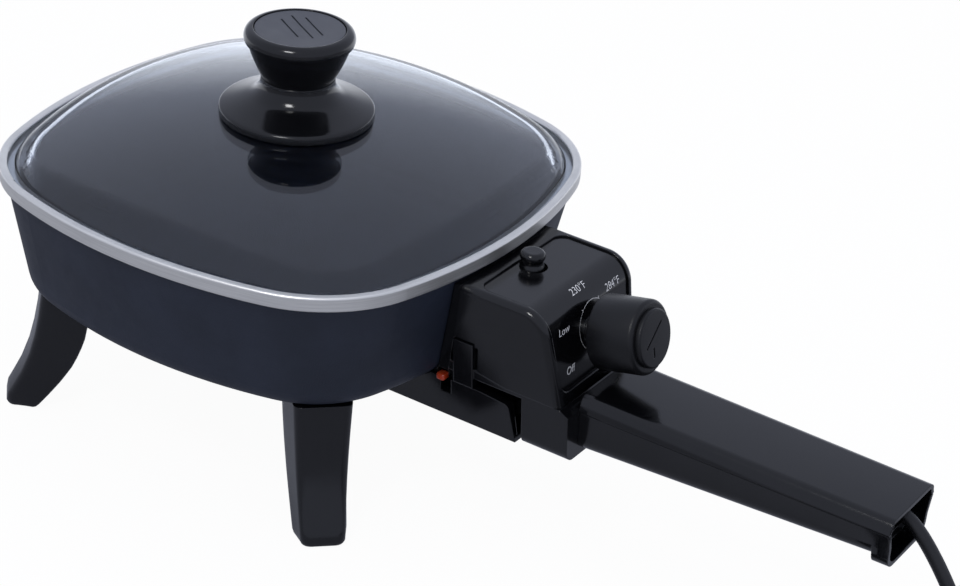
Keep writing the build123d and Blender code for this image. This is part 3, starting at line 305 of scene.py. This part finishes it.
leg_black = moulded(
    "leg_phenolic", (0.0035, 0.0037, 0.0048), (0.0052, 0.0054, 0.0068), 0.18, 0.25, 1700, 0.00002,
    0.0006, Specular_IOR_Level=0.44,
)
plastic = moulded(
    "black_phenolic", (0.0016, 0.0017, 0.0022), (0.003, 0.0031, 0.0038), 0.1, 0.17, 1900, 0.000008,
    0.0006,
)
panel_black = moulded(
    "panel_gloss_black", (0.0016, 0.0016, 0.002), (0.0024, 0.0024, 0.003), 0.13, 0.19, 900,
    0.000005, 0.0004,
)
dial_black = moulded(
    "dial_satin_black", (0.0022, 0.0023, 0.003), (0.0036, 0.0037, 0.0045), 0.34, 0.44, 2400,
    0.00002, 0.0005, Specular_IOR_Level=0.38,
)
disc_black = moulded(
    "knob_disc_matt", (0.042, 0.045, 0.055), (0.052, 0.056, 0.068), 0.42, 0.52, 2600, 0.00003,
    0.0003,
)
cord_black = moulded(
    "cord_vinyl", (0.004, 0.004, 0.0045), (0.007, 0.007, 0.0075), 0.3, 0.4, 1400, 0.00002,
)
silicone = moulded(
    "silicone_clear", (0.55, 0.55, 0.55), (0.65, 0.65, 0.65), 0.4, 0.5, 900, 0.00002,
)
block_black = moulded(
    "contact_block_black", (0.002, 0.002, 0.0025), (0.004, 0.004, 0.0045), 0.4, 0.55, 1100,
    0.00002, 0.0004,
)


def metal(name, dark, light, rough_low, rough_high, stretch, grain, depth):
    """Drawn or brushed metal with lines along the direction that stretch leaves small."""
    made, tree, shader = material(name, light, rough_low, 1.0)
    vector = place_node(tree, stretch)
    lines = noise(tree, vector, grain, 6, 0.7)
    tree.links.new(ramp(tree, lines, dark, light), shader.inputs["Base Color"])
    tree.links.new(span(tree, lines, rough_low, rough_high), shader.inputs["Roughness"])
    bump(tree, shader, lines, depth)
    return made


EVEN = (1, 1, 1)
ALONG_RIM = (0.04, 0.04, 3)
rim_steel = metal(
    "rim_steel", (0.76, 0.75, 0.71), (0.95, 0.94, 0.89), 0.34, 0.48, ALONG_RIM, 1200, 0.00001,
)
zinc = metal("zinc_steel", (0.42, 0.43, 0.44), (0.6, 0.61, 0.62), 0.25, 0.4, EVEN, 700, 0.00001)
brass = metal("brass", (0.66, 0.47, 0.2), (0.8, 0.6, 0.3), 0.22, 0.34, EVEN, 600, 0.00001)
sheath = metal("element_sheath", (0.16, 0.16, 0.17), (0.3, 0.3, 0.3), 0.4, 0.6, EVEN, 500, 0.00002)

glass, glass_tree, glass_shader = material(
    "lid_glass_clear", (0.8, 0.845, 0.9), 0.0, Transmission_Weight=1.0, IOR=1.5,
    Specular_IOR_Level=0.4,
)
bump(glass_tree, glass_shader, noise(glass_tree, place_node(glass_tree), 18, 2), 0.00012)

# Dim orange-red: the lens's own orange, made darker with painted shade for the shadow it sits in.
amber, amber_tree, amber_shader = material(
    "lens_orange_painted_shade", (0.3, 0.03, 0.008), 0.2, Subsurface_Weight=0.25,
)
amber_shader.inputs["Subsurface Scale"].default_value = 0.002
bump(amber_tree, amber_shader, noise(amber_tree, place_node(amber_tree), 900, 2), 0.00003)

LOOKS = {
    "nonstick_pan": nonstick, "black_plastic": plastic, "panel_gloss": panel_black,
    "dial_black": dial_black, "lid_glass": glass, "rim_steel": rim_steel, "screw_steel": zinc,
    "brass": brass, "element_steel": sheath, "lens_amber": amber, "cord_rubber": cord_black,
    "washer_silicone": silicone, "ceramic": block_black,
}


slots = {piece["node"]: piece["material_slot"] for piece in frame["record"]["subparts"]}
for node, piece in frame["nodes"].items():
    piece.data.materials.clear()
    piece.data.materials.append(LOOKS[slots[node]])
cord.data.materials.append(cord_black)


# ---------------------------------------------------------------- pieces shaped here

def arc(start, through, end, steps=8):
    """Points of the round arc from start over through to end, end left out."""
    (ax, ay), (bx, by), (cx, cy) = start, through, end
    a2, b2, c2 = ax**2 + ay**2, bx**2 + by**2, cx**2 + cy**2
    turn = 2 * (ax * (by - cy) + bx * (cy - ay) + cx * (ay - by))
    ux = (a2 * (by - cy) + b2 * (cy - ay) + c2 * (ay - by)) / turn
    uy = (a2 * (cx - bx) + b2 * (ax - cx) + c2 * (bx - ax)) / turn
    radius = math.hypot(ax - ux, ay - uy)
    first, middle, last = (math.atan2(y - uy, x - ux) for x, y in (start, through, end))
    sweep = (last - first) % math.tau
    if (middle - first) % math.tau > sweep:
        sweep -= math.tau
    angles = [first + sweep * step / steps for step in range(steps)]
    return [(ux + radius * math.cos(angle), uy + radius * math.sin(angle)) for angle in angles]


SAME_PLACE = 1e-6


def closed_mesh(name, points, faces, merge=False):
    """A mesh with its faces turned outward, and points in one place merged where asked."""
    mesh = bpy.data.meshes.new(name)
    mesh.from_pydata(points, [], faces)
    work = bmesh.new()
    work.from_mesh(mesh)
    if merge:
        bmesh.ops.remove_doubles(work, verts=work.verts, dist=SAME_PLACE)
    bmesh.ops.recalc_face_normals(work, faces=work.faces)
    work.to_mesh(mesh)
    work.free()
    return mesh


def shaped_piece(mesh, body, look, *replaced, sharp=None):
    """A smooth piece of the mesh, with its look and body."""
    # Smoothing comes first, because the edges of flat faces would all be marked as sharp.
    mesh.polygons.foreach_set("use_smooth", [True] * len(mesh.polygons))
    if sharp:
        mesh.set_sharp_from_angle(angle=math.radians(sharp))
    piece = new_object(mesh.name, mesh)
    mesh.materials.append(look)
    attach(piece, body)
    if replaced:
        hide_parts(*replaced)
    return piece


def finished(name, points, faces, body, look, *replaced, sharp=35):
    """A mesh piece from points in the frame's metres, smooth but for its sharp edges."""
    mesh = closed_mesh(name, points, faces, merge=True)
    return shaped_piece(mesh, body, look, *replaced, sharp=sharp)


def turned(name, profile, place, body, look, *replaced, segments=128):
    """A closed profile of radius and height turned about the height axis, put in place."""
    points, faces = [], []
    for step in range(segments):
        angle = math.tau * step / segments
        for radius, height in profile:
            points.append(place(radius * math.cos(angle), radius * math.sin(angle), height))
    count = len(profile)
    for step in range(segments):
        here, there = step * count, (step + 1) % segments * count
        for k in range(count - 1):
            faces.append((here + k, there + k, there + k + 1, here + k + 1))
    return finished(name, points, faces, body, look, *replaced)


def lofted(name, sections, body, look, *replaced, sharp=35):
    """A closed skin over sections of equally many points, with its two ends filled."""
    count = len(sections[0])
    points = [point for section in sections for point in section]
    faces = [tuple(range(count)), tuple(range((len(sections) - 1) * count, len(sections) * count))]
    for row in range(len(sections) - 1):
        for k in range(count):
            after = (k + 1) % count
            low, high = row * count, (row + 1) * count
            faces.append((low + k, low + after, high + after, high + k))
    return finished(name, points, faces, body, look, *replaced, sharp=sharp)


DOME_TOP = 119.0
SKIRT_LOW = 117.75
NECK = 131.9
WAIST = 144.9
KNOB_TOP = 150.4
turned(
    "knob_skirt_form",
    [(0, NECK), (13.4, NECK)]
    + arc((13.4, NECK - 0.1), (14.5, 127.4), (17.8, 124.6))
    + arc((17.8, 124.6), (22.8, 122.5), (27.2, 120.9))
    + arc((27.2, 120.9), (27.9, 120.4), (28.1, 119.7), 5)
    + [(28.1, 119.7), (28.1, SKIRT_LOW), (14.0, 118.75), (0, DOME_TOP)],
    mm, "lid", plastic, "knob_skirt",
)
turned(
    "knob_grip_form",
    [(0, NECK), (13.1, NECK)]
    + arc((13.1, NECK + 0.1), (16.3, 138.6), (18.5, WAIST - 0.4))
    + arc((18.5, WAIST - 0.4), (18.8, WAIST + 0.1), (19.5, WAIST + 0.4), 4)
    + arc((19.5, WAIST + 0.4), (19.95, 147.2), (19.3, 149.2))
    + arc((19.3, 149.2), (18.2, 150.1), (16.6, KNOB_TOP), 6)
    + [(16.6, KNOB_TOP), (16.6, 148.9), (0, 148.9)],
    mm, "lid", plastic, "knob_grip",
)


def carve(piece, cutters):
    """Cut closed shapes, each given as points and faces, out of a finished piece."""
    for points, faces in cutters:
        cutter = new_object("cutter", closed_mesh("cutter", points, faces))
        cut = piece.modifiers.new("cut", "BOOLEAN")
        cut.object = cutter
        cut.solver = "EXACT"
        bpy.context.view_layer.update()
        shown = piece.evaluated_get(bpy.context.evaluated_depsgraph_get())
        carved = bpy.data.meshes.new_from_object(shown)
        piece.modifiers.clear()
        piece.data = carved
        bpy.data.objects.remove(cutter)


def slot_cutter(length, width, centre, turn, low, high, place):
    """A round-ended bar between two heights; a length equal to the width gives a disc."""
    outline = []
    for side in (0, 1):
        for step in range(9):
            angle = math.pi * (side - 0.5) + math.pi * step / 8
            outline.append((
                (0.5 - side) * (length - width + 0.001) + width / 2 * math.cos(angle),
                width / 2 * math.sin(angle),
            ))
    points = []
    for height in (low, high):
        for x, y in outline:
            u = centre[0] + x * math.cos(turn) - y * math.sin(turn)
            v = centre[1] + x * math.sin(turn) + y * math.cos(turn)
            points.append(place(u, v, height))
    count = len(outline)
    faces = [tuple(range(count))[::-1], tuple(range(count, 2 * count))]
    faces += [(k, (k + 1) % count, (k + 1) % count + count, k + count) for k in range(count)]
    return points, faces


disc = turned(
    "knob_disc_form",
    [(0, 148.95), (16.35, 148.95), (16.35, 149.7)]
    + arc((16.35, 149.7), (16.2, 150.05), (15.8, 150.15), 4)
    + arc((15.8, 150.15), (8.0, 149.85), (0.05, 149.75), 8) + [(0, 149.75)],
    mm, "lid", disc_black, "knob_insert",
)
carve(disc, [
    slot_cutter(length, 0.75, centre, math.radians(-31), 149.2, 152, mm)
    for length, centre in ((16.3, (-3.4, -1.7)), (20.6, (-0.7, 2.1)), (16.3, (2.2, 5.3)))
])


DIAL_TILT = math.radians(13.0)
DIAL_FACE_X, DIAL_FACE_Z = 152.4, 82.2


def on_dial(u, v, depth):
    """A place on the tilted dial: u up its face, v across, depth out along its axis."""
    return mm(
        DIAL_FACE_X + depth * math.cos(DIAL_TILT) - u * math.sin(DIAL_TILT),
        v,
        DIAL_FACE_Z + depth * math.sin(DIAL_TILT) + u * math.cos(DIAL_TILT),
    )


DIAL_RADIUS = 13.2
DIAL_BACK = -17.9
turned(
    "dial_knob_form",
    [(0, 0), (11.7, 0)]
    + arc((11.7, 0), (12.75, -0.45), (DIAL_RADIUS, -1.5))
    + [(DIAL_RADIUS, -1.5), (DIAL_RADIUS + 0.1, DIAL_BACK + 0.6)]
    + arc((DIAL_RADIUS + 0.1, DIAL_BACK + 0.6), (13.1, DIAL_BACK + 0.2), (12.7, DIAL_BACK), 4)
    + [(12.7, DIAL_BACK), (11.2, DIAL_BACK), (11.2, -5), (6.5, -5), (6.5, -12.5)]
    + [(3.1, -12.5), (3.1, -5), (0, -5)],
    on_dial, "dial", dial_black, "dial_knob",
)
cap = turned(
    "dial_cap_form",
    [(0, 0), (10.4, 0), (10.4, 1.2)] + arc((10.4, 1.2), (10.2, 1.75), (9.6, 2.0), 5)
    + [(9.6, 2.0), (0, 2.0)],
    on_dial, "dial", dial_black, "dial_cap", segments=96,
)
carve(cap, [
    slot_cutter(length, 0.8, centre, math.radians(turn), 1.4, 3.0, on_dial)
    for length, centre, turn in ((12.8, (1.5, -0.75), 58), (3.8, (-4.6, -1.7), 3))
])

BUTTON_X, BUTTON_Y = 103.6, -0.4
turned(
    "release_button_form",
    [(0, 98.4), (2.6, 98.4)]
    + arc((2.6, 98.4), (3.95, 98.0), (4.45, 96.9), 6)
    + arc((4.45, 96.9), (4.45, 96.0), (4.15, 95.4), 4)
    + arc((4.15, 95.4), (3.85, 94.4), (4.3, 93.2), 4)
    + [(4.3, 93.2), (4.5, 92.4), (4.5, 89.7), (5.1, 89.7), (5.1, 87.0), (0, 87.0)],
    lambda x, y, z: mm(BUTTON_X + x, BUTTON_Y + y, z), "button", plastic, "release_button",
    segments=64,
)

# A leg's reach from the pan's axis, half width and added width inside, each by height.
LEG_OUTER = [
    (0.0, 102.9), (0.5, 103.9), (1.6, 104.4), (4.5, 103.9), (8.0, 102.0), (14.0, 98.9),
    (22.0, 95.9), (30.0, 93.9), (38.0, 92.5), (49.3, 91.2), (60.0, 90.6),
]
LEG_INNER = [
    (0.0, 93.6), (2.0, 91.9), (6.0, 88.6), (12.0, 84.0), (18.0, 80.2), (24.0, 77.4), (30.0, 75.5),
    (38.0, 74.1), (60.0, 73.4),
]
LEG_HALF = [(0.0, 6.9), (0.5, 7.6), (1.6, 8.0), (60.0, 11.0)]
LEG_DRAFT = [(0.0, 1.6), (60.0, 2.4)]
LEG_LEVELS = [
    0.0, 0.5, 1.6, 3.0, 4.5, 6.0, 8.0, 11.0, 14.0, 18.0, 22.0, 26.0, 30.0, 34.0, 38.0, 42.0, 46.0,
    49.0,
]
LEG_TOP = 56.6
LEG_FRONT = 86.0
LEG_BEND, LEG_INNER_BEND = 3.4, 1.2
FRONT_GAP, SEAT_GAP, LEAST_RISE = 0.0018, 0.00005, 0.0001
PAD_HALF = [(76, 9.5), (62, 9.5), (61, 8.5)]
PAD_LEVELS = (42.0, 49.3)
LEG_TURNS = {
    "leg_handle_far": 45, "leg_rear_far": 137.6, "leg_rear_near": 222.4, "leg_handle_near": 315,
}
pan = frame["nodes"]["skillet_pan"]


def mirrored(side):
    """One side of an outline, each point as reach and width, followed by its mirror image."""
    return side + [(reach, -across) for reach, across in reversed(side)]


def leg_outline(z):
    """Reach and width of one level cut through a leg, rounded outside and wider inside."""
    outer, inner, half = between(LEG_OUTER, z), between(LEG_INNER, z), between(LEG_HALF, z)
    wide = half + between(LEG_DRAFT, z)
    bend, small = LEG_BEND, LEG_INNER_BEND
    side = []
    for step in range(6):
        angle = math.pi / 2 * step / 5
        side.append((outer - bend + bend * math.cos(angle), half - bend + bend * math.sin(angle)))
    for step in range(1, 6):
        part = step / 6
        reach = outer - bend + (inner + small - outer + bend) * part
        side.append((reach, half + (wide - half) * part))
    for step in range(4):
        angle = math.pi / 2 * step / 3
        reach = inner + small - small * math.sin(angle)
        side.append((reach, wide - small + small * math.cos(angle)))
    return mirrored(side)


def leg_level(outline, turn, z):
    """Points of a leg's outline at a height, turned to its corner of the pan."""
    return [
        mm(
            reach * math.cos(turn) - across * math.sin(turn),
            reach * math.sin(turn) + across * math.cos(turn),
            z,
        )
        for reach, across in outline
    ]


def under_pan(point, gap):
    """The point moved up to a gap below the pan, or to the leg's top if that is lower."""
    into_pan = pan.matrix_world.inverted()
    hit, place, _, _ = pan.ray_cast(into_pan @ Vector(point), Vector((0, 0, 1)))
    height = (pan.matrix_world @ place).z - gap if hit else LEG_TOP / 1000
    return (point[0], point[1], max(point[2] + LEAST_RISE, min(height, LEG_TOP / 1000)))


def leg(node, degrees):
    """A leg with its pad: the shell sweeps up to the pan's underside and closes there."""
    turn = math.radians(degrees)
    rows = [leg_level(leg_outline(z), turn, z) for z in LEG_LEVELS]
    gaps = [
        FRONT_GAP if reach > LEG_FRONT else SEAT_GAP
        for reach, _ in leg_outline(LEG_LEVELS[-1])
    ]
    rows.append([under_pan(point, gap) for point, gap in zip(rows[-1], gaps)])
    lofted(node + "_form", rows, "pan", leg_black, node)
    pad = [leg_level(mirrored(PAD_HALF), turn, z) for z in PAD_LEVELS]
    lofted(node + "_pad", pad, "pan", leg_black)


for node, degrees in LEG_TURNS.items():
    leg(node, degrees)


HANDLE_ROOT, HANDLE_END, HANDLE_STEP = 137.6, 254.85, 248.6
SEAM = 54.9
HANDLE_TOP = [(HANDLE_ROOT, 61.0), (HANDLE_END, 59.6)]
HANDLE_LOW = [
    (HANDLE_ROOT, 38.6), (HANDLE_STEP, 42.9), (HANDLE_STEP + 0.3, 39.9), (HANDLE_END, 39.9),
]
HALF_TOP = [(HANDLE_ROOT, 17.0), (HANDLE_END, 16.1)]
HALF_SEAM = [(HANDLE_ROOT, 17.7), (HANDLE_END, 17.0)]
HALF_LOW = [(HANDLE_ROOT, 16.3), (HANDLE_END, 14.2)]
HANDLE_PLACES = [HANDLE_ROOT, 160, 190, 220, HANDLE_STEP, HANDLE_STEP + 0.3, 251.5, HANDLE_END]


def shell_ring(half, offset, x):
    """A wall of even thickness along half an outline, mirrored across the handle."""
    outer = half + [(-y, z) for y, z in reversed(half)]
    inner = offset + [(-y, z) for y, z in reversed(offset)]
    return [mm(x, y, z) for y, z in outer + inner[::-1]]


def upper_ring(x):
    """Section of the handle's upper shell: a flat top, tight corners and leaning sides."""
    top, half, seam = between(HANDLE_TOP, x), between(HALF_TOP, x), between(HALF_SEAM, x)
    side = [(seam, SEAM), (half + 0.3, top - 3.3)]
    side += arc((half + 0.25, top - 3.2), (half - 0.8, top - 0.9), (half - 3.4, top), 5)
    side += [(half - 3.4, top)]
    wall = [(seam - 1.6, SEAM), (half - 1.4, top - 3.4)]
    wall += arc((half - 1.45, top - 3.3), (half - 2.1, top - 2.1), (half - 3.6, top - 1.6), 5)
    wall += [(half - 3.6, top - 1.6)]
    return shell_ring(side, wall, x)


def lower_ring(x):
    """Section of the handle's lower shell: sides leaning in to a bottom with round corners."""
    low, half, seam = between(HANDLE_LOW, x), between(HALF_LOW, x), between(HALF_SEAM, x)
    side = [(seam - 0.25, SEAM - 0.35), (half + 0.5, 48.2), (half + 0.36, low + 5.1)]
    side += arc((half + 0.35, low + 5.0), (half - 1.2, low + 1.5), (half - 4.6, low), 6)
    side += [(half - 4.6, low)]
    wall = [(seam - 1.85, SEAM - 0.35), (half - 1.1, 48.5), (half - 1.24, low + 5.5)]
    wall += arc((half - 1.25, low + 5.4), (half - 2.6, low + 2.7), (half - 5.0, low + 1.6), 6)
    wall += [(half - 5.0, low + 1.6)]
    return shell_ring(side, wall, x)


HANDLE_SHARP = 28
lofted(
    "handle_upper_form", [upper_ring(x) for x in HANDLE_PLACES], "control", plastic,
    "handle_upper", sharp=HANDLE_SHARP,
)
lower = lofted(
    "handle_lower_form", [lower_ring(x) for x in HANDLE_PLACES], "control", plastic,
    "handle_lower", sharp=HANDLE_SHARP,
)
SCREW_PLACES = (HANDLE_ROOT + 24, HANDLE_ROOT + 50)
SEAT_INNER, SEAT_OUTER, SEAT_TOP, SEAT_SINK = 3.0, 4.4, 50, 0.4
carve(lower, [
    slot_cutter(2 * SEAT_INNER, 2 * SEAT_INNER, (x, 0), 0, 30, 45, mm) for x in SCREW_PLACES
])
for number, x in enumerate(SCREW_PLACES, 1):
    low = between(HANDLE_LOW, x) + SEAT_SINK
    turned(
        f"handle_screw_seat_{number}",
        [
            (SEAT_INNER, low), (SEAT_OUTER, low), (SEAT_OUTER, SEAT_TOP), (SEAT_INNER, SEAT_TOP),
            (SEAT_INNER, low),
        ],
        lambda a, b, z: mm(x + a, b, z), "control", plastic, segments=48,
    )


def soft_block(name, low, high, edge, body, look, *replaced):
    """A small moulded block with rounded edges, between two corners."""
    work = bmesh.new()
    bmesh.ops.create_cube(work, size=1)
    for vertex in work.verts:
        vertex.co = mm(*(a + (b - a) * (c + 0.5) for a, b, c in zip(low, high, vertex.co)))
    bmesh.ops.bevel(
        work, geom=work.edges[:], offset=edge / 1000, segments=4, profile=0.5, affect="EDGES",
    )
    mesh = bpy.data.meshes.new(name)
    work.to_mesh(mesh)
    work.free()
    shaped_piece(mesh, body, look, *replaced)


LENS_LOW, LENS_HIGH, LENS_EDGE = (83.3, -25.2, 50.1), (86.9, -21.2, 52.9), 1.0
soft_block("indicator_lens_form", LENS_LOW, LENS_HIGH, LENS_EDGE, "pan", amber, "indicator_lens")


# ---------------------------------------------------------------- printed marks on the panel

FRONT_LEAN = math.radians(12.1)
TOP_Z = 93.0
FRONT_X = 134.2
PARTING_Z = 57.6
BROW = 11.0
SINK = 0.7
RISE_FROM_Z = 70.0
PRINT_LIFT = 0.05


def panel_surface(y, rise):
    """Place on the panel's printed face: y across, and rise counted up from RISE_FROM_Z."""
    slope = math.tan(FRONT_LEAN)
    reach = BROW - SINK
    turn = math.pi / 2 - FRONT_LEAN
    top = TOP_Z - SINK
    centre_z = TOP_Z - BROW
    foot_x = FRONT_X - SINK / math.cos(FRONT_LEAN)
    centre_x = FRONT_X - (centre_z - PARTING_Z) * slope - BROW / math.cos(FRONT_LEAN)
    tangent_z = centre_z + reach * math.sin(FRONT_LEAN)
    front_run = (tangent_z - RISE_FROM_Z) / math.cos(FRONT_LEAN)
    if rise <= front_run:
        z = RISE_FROM_Z + rise * math.cos(FRONT_LEAN)
        normal = Vector((math.cos(FRONT_LEAN), 0, math.sin(FRONT_LEAN)))
        return Vector((foot_x - (z - PARTING_Z) * slope, y, z)), normal
    bend = (rise - front_run) / reach
    if bend <= turn:
        angle = FRONT_LEAN + bend
        normal = Vector((math.cos(angle), 0, math.sin(angle)))
        return Vector((centre_x, y, centre_z)) + reach * normal, normal
    flat = rise - front_run - turn * reach
    return Vector((centre_x - flat, y, top)), Vector((0, 0, 1))


def printed(name, flat_mesh, centre):
    """Lay a flat mesh (millimetres) on the panel with its middle at (y, rise)."""
    for vertex in flat_mesh.vertices:
        place, normal = panel_surface(centre[0] + vertex.co.x, centre[1] + vertex.co.y)
        place = place + normal * (PRINT_LIFT + vertex.co.z)
        vertex.co = mm(place.x, place.y, place.z)
    piece = new_object(name, flat_mesh)
    piece.data.materials.clear()
    piece.data.materials.append(print_white)
    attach(piece, "control")


def word(name, text, size, centre):
    """A word in thin slanted letters on the panel."""
    data = bpy.data.curves.new(name, "FONT")
    data.body = text
    data.size = size
    data.shear = 0.15
    data.align_x = "CENTER"
    data.align_y = "CENTER"
    data.extrude = 0.02
    data.offset = -0.035
    source = new_object(name + "_source", data)
    bpy.context.view_layer.update()
    mesh = bpy.data.meshes.new_from_object(source)
    bpy.data.objects.remove(source)
    mesh.name = name
    printed(name, mesh, centre)


def printed_arc(name, radius, width, start, end, centre, steps=60):
    """A thin printed line round the dial, with its ends and angles in degrees."""
    points, faces = [], []
    for step in range(steps + 1):
        angle = math.radians(start + (end - start) * step / steps)
        for reach in (radius - width / 2, radius + width / 2):
            points.append((reach * math.cos(angle), reach * math.sin(angle), 0))
    for step in range(steps):
        faces.append((2 * step, 2 * step + 1, 2 * step + 3, 2 * step + 2))
    mesh = bpy.data.meshes.new(name)
    mesh.from_pydata(points, [], faces)
    printed(name, mesh, centre)


print_white, print_tree, print_shader = material("printed_white", (0.62, 0.62, 0.62), 0.5)
bump(print_tree, print_shader, noise(print_tree, place_node(print_tree), 3000, 2), 0.00001)

LETTER = 3.9
word("print_off", "Off", LETTER, (-15.2, -2.0))
word("print_low", "Low", LETTER, (-16.8, 13.2))
word("print_230", "230\u00b0F", LETTER, (-1.3, 23.0))
word("print_284", "284\u00b0F", LETTER, (16.0, 17.4))
ARC_CENTRE = (1.6, 8.3)
printed_arc("print_arc", 9.0, 0.22, 50, 236, ARC_CENTRE)
TICK_RADIUS, TICK_LENGTH = 9.45, 0.9
printed_arc("print_tick_230", TICK_RADIUS, TICK_LENGTH, 128, 130, ARC_CENTRE, 3)
printed_arc("print_tick_284", TICK_RADIUS, TICK_LENGTH, 59, 61, ARC_CENTRE, 3)


# ---------------------------------------------------------------- stage and light

def light(name, place, target, size, power):
    """Square soft lamp at a place, facing a target, in the frame's metres."""
    data = bpy.data.lights.new(name, "AREA")
    data.shape = "RECTANGLE"
    data.size = size
    data.size_y = size
    data.energy = power
    lamp = new_object(name, data)
    direction = Vector(target) - Vector(place)
    lamp.rotation_mode = "QUATERNION"
    lamp.rotation_quaternion = direction.to_track_quat("-Z", "Y")
    lamp.location = place
    return lamp


key = light("softbox_key", (0.06, -0.79, 1.1), (-0.05, 0, 0.1), 0.3, 4.2)
fill = light("softbox_top", (-0.15, 0.15, 1.3), (-0.05, 0, 0.05), 1.3, 7.0)
# The lamps' images in the lid: none seen through the glass, and the key spares the glass itself.
for lamp in (key, fill):
    lamp.visible_transmission = False
fill.visible_glossy = False
spared = bpy.data.collections.new("key_spares")
spared.objects.link(frame["nodes"]["lid_glass"])
key.light_linking.receiver_collection = spared
for member in spared.collection_objects:
    member.light_linking.link_state = "EXCLUDE"

SKY = (0.53, 0.565, 0.69, 1)
GROUND = (0.29, 0.305, 0.37, 1)
WHITE = (1, 1, 1, 1)
BRIGHT = (1.15, 1.2, 1.32, 1)
AWAY = (-0.526, 0.784, -0.33)
FLOOR_HALF, FLOOR_DROP = 4, 0.0002
GLOW_SHARE = 0.96


def seen_directly(tree):
    """1 for rays that reach the paper from the camera, also through clear glass, otherwise 0."""
    path = add_node(tree, "ShaderNodeLightPath")
    result = path.outputs["Is Transmission Ray"]
    for depth in ("Glossy Depth", "Diffuse Depth"):
        first = add_node(tree, "ShaderNodeMath", operation="LESS_THAN")
        first.inputs[1].default_value = 0.5
        tree.links.new(path.outputs[depth], first.inputs[0])
        both = add_node(tree, "ShaderNodeMath", operation="MULTIPLY")
        tree.links.new(result, both.inputs[0])
        tree.links.new(first.outputs[0], both.inputs[1])
        result = both.outputs[0]
    either = add_node(tree, "ShaderNodeMath", operation="MAXIMUM")
    tree.links.new(result, either.inputs[0])
    tree.links.new(path.outputs["Is Camera Ray"], either.inputs[1])
    return either.outputs[0]


def paper_color(tree, socket, surround):
    """White where the paper is seen directly, and the studio's own colour in reflections."""
    node = add_node(tree, "ShaderNodeMixRGB")
    node.inputs["Color1"].default_value = surround
    node.inputs["Color2"].default_value = WHITE
    tree.links.new(seen_directly(tree), node.inputs["Fac"])
    tree.links.new(node.outputs["Color"], socket)


def backdrop(tree, coordinates, reach, near):
    """Make the surround brighter towards the lit background behind the object."""
    source = add_node(tree, "ShaderNodeTexCoord")
    along = add_node(tree, "ShaderNodeVectorMath", operation="DOT_PRODUCT")
    along.inputs[1].default_value = AWAY
    fade = add_node(tree, "ShaderNodeMapRange", interpolation_type="SMOOTHSTEP")
    fade.inputs["From Min"].default_value, fade.inputs["From Max"].default_value = reach
    tint = add_node(tree, "ShaderNodeMixRGB")
    tint.inputs["Color1"].default_value = near
    tint.inputs["Color2"].default_value = BRIGHT
    tree.links.new(source.outputs[coordinates], along.inputs[0])
    tree.links.new(along.outputs["Value"], fade.inputs["Value"])
    tree.links.new(fade.outputs["Result"], tint.inputs["Fac"])
    paper = next(node for node in tree.nodes if node.bl_idname == "ShaderNodeMixRGB")
    tree.links.new(tint.outputs["Color"], paper.inputs["Color1"])


world = bpy.data.worlds.new("studio")
bpy.context.scene.world = world
world.use_nodes = True
world_tree = world.node_tree
paper_color(world_tree, world_tree.nodes["Background"].inputs["Color"], SKY)
backdrop(world_tree, "Generated", (0.76, 0.95), SKY)


def glowing_paper():
    """Floor paper that glows for all rays but those that carry light to the object."""
    look, tree, shader = material("floor_paper", (0.86, 0.86, 0.87), 0.7, Specular_IOR_Level=0.1)
    glow = add_node(tree, "ShaderNodeEmission")
    paper_color(tree, glow.inputs["Color"], GROUND)
    backdrop(tree, "Object", (0.12, 0.42), GROUND)
    path = add_node(tree, "ShaderNodeLightPath")
    lit = add_node(tree, "ShaderNodeMath", operation="SUBTRACT")
    lit.inputs[0].default_value = 1
    share = add_node(tree, "ShaderNodeMath", operation="MULTIPLY")
    share.inputs[1].default_value = GLOW_SHARE
    mix = add_node(tree, "ShaderNodeMixShader")
    tree.links.new(path.outputs["Is Diffuse Ray"], lit.inputs[1])
    tree.links.new(lit.outputs[0], share.inputs[0])
    tree.links.new(share.outputs[0], mix.inputs["Fac"])
    tree.links.new(shader.outputs["BSDF"], mix.inputs[1])
    tree.links.new(glow.outputs["Emission"], mix.inputs[2])
    tree.links.new(mix.outputs["Shader"], tree.nodes["Material Output"].inputs["Surface"])
    return look


floor_mesh = bpy.data.meshes.new("floor")
corners = [(FLOOR_HALF * x, FLOOR_HALF * y, 0) for x, y in ((-1, -1), (1, -1), (1, 1), (-1, 1))]
floor_mesh.from_pydata(corners, [], [(0, 1, 2, 3)])
floor = new_object("floor", floor_mesh)
floor.location.z = -FLOOR_DROP
floor.data.materials.append(glowing_paper())

bpy.context.scene.view_settings.view_transform = "Standard"
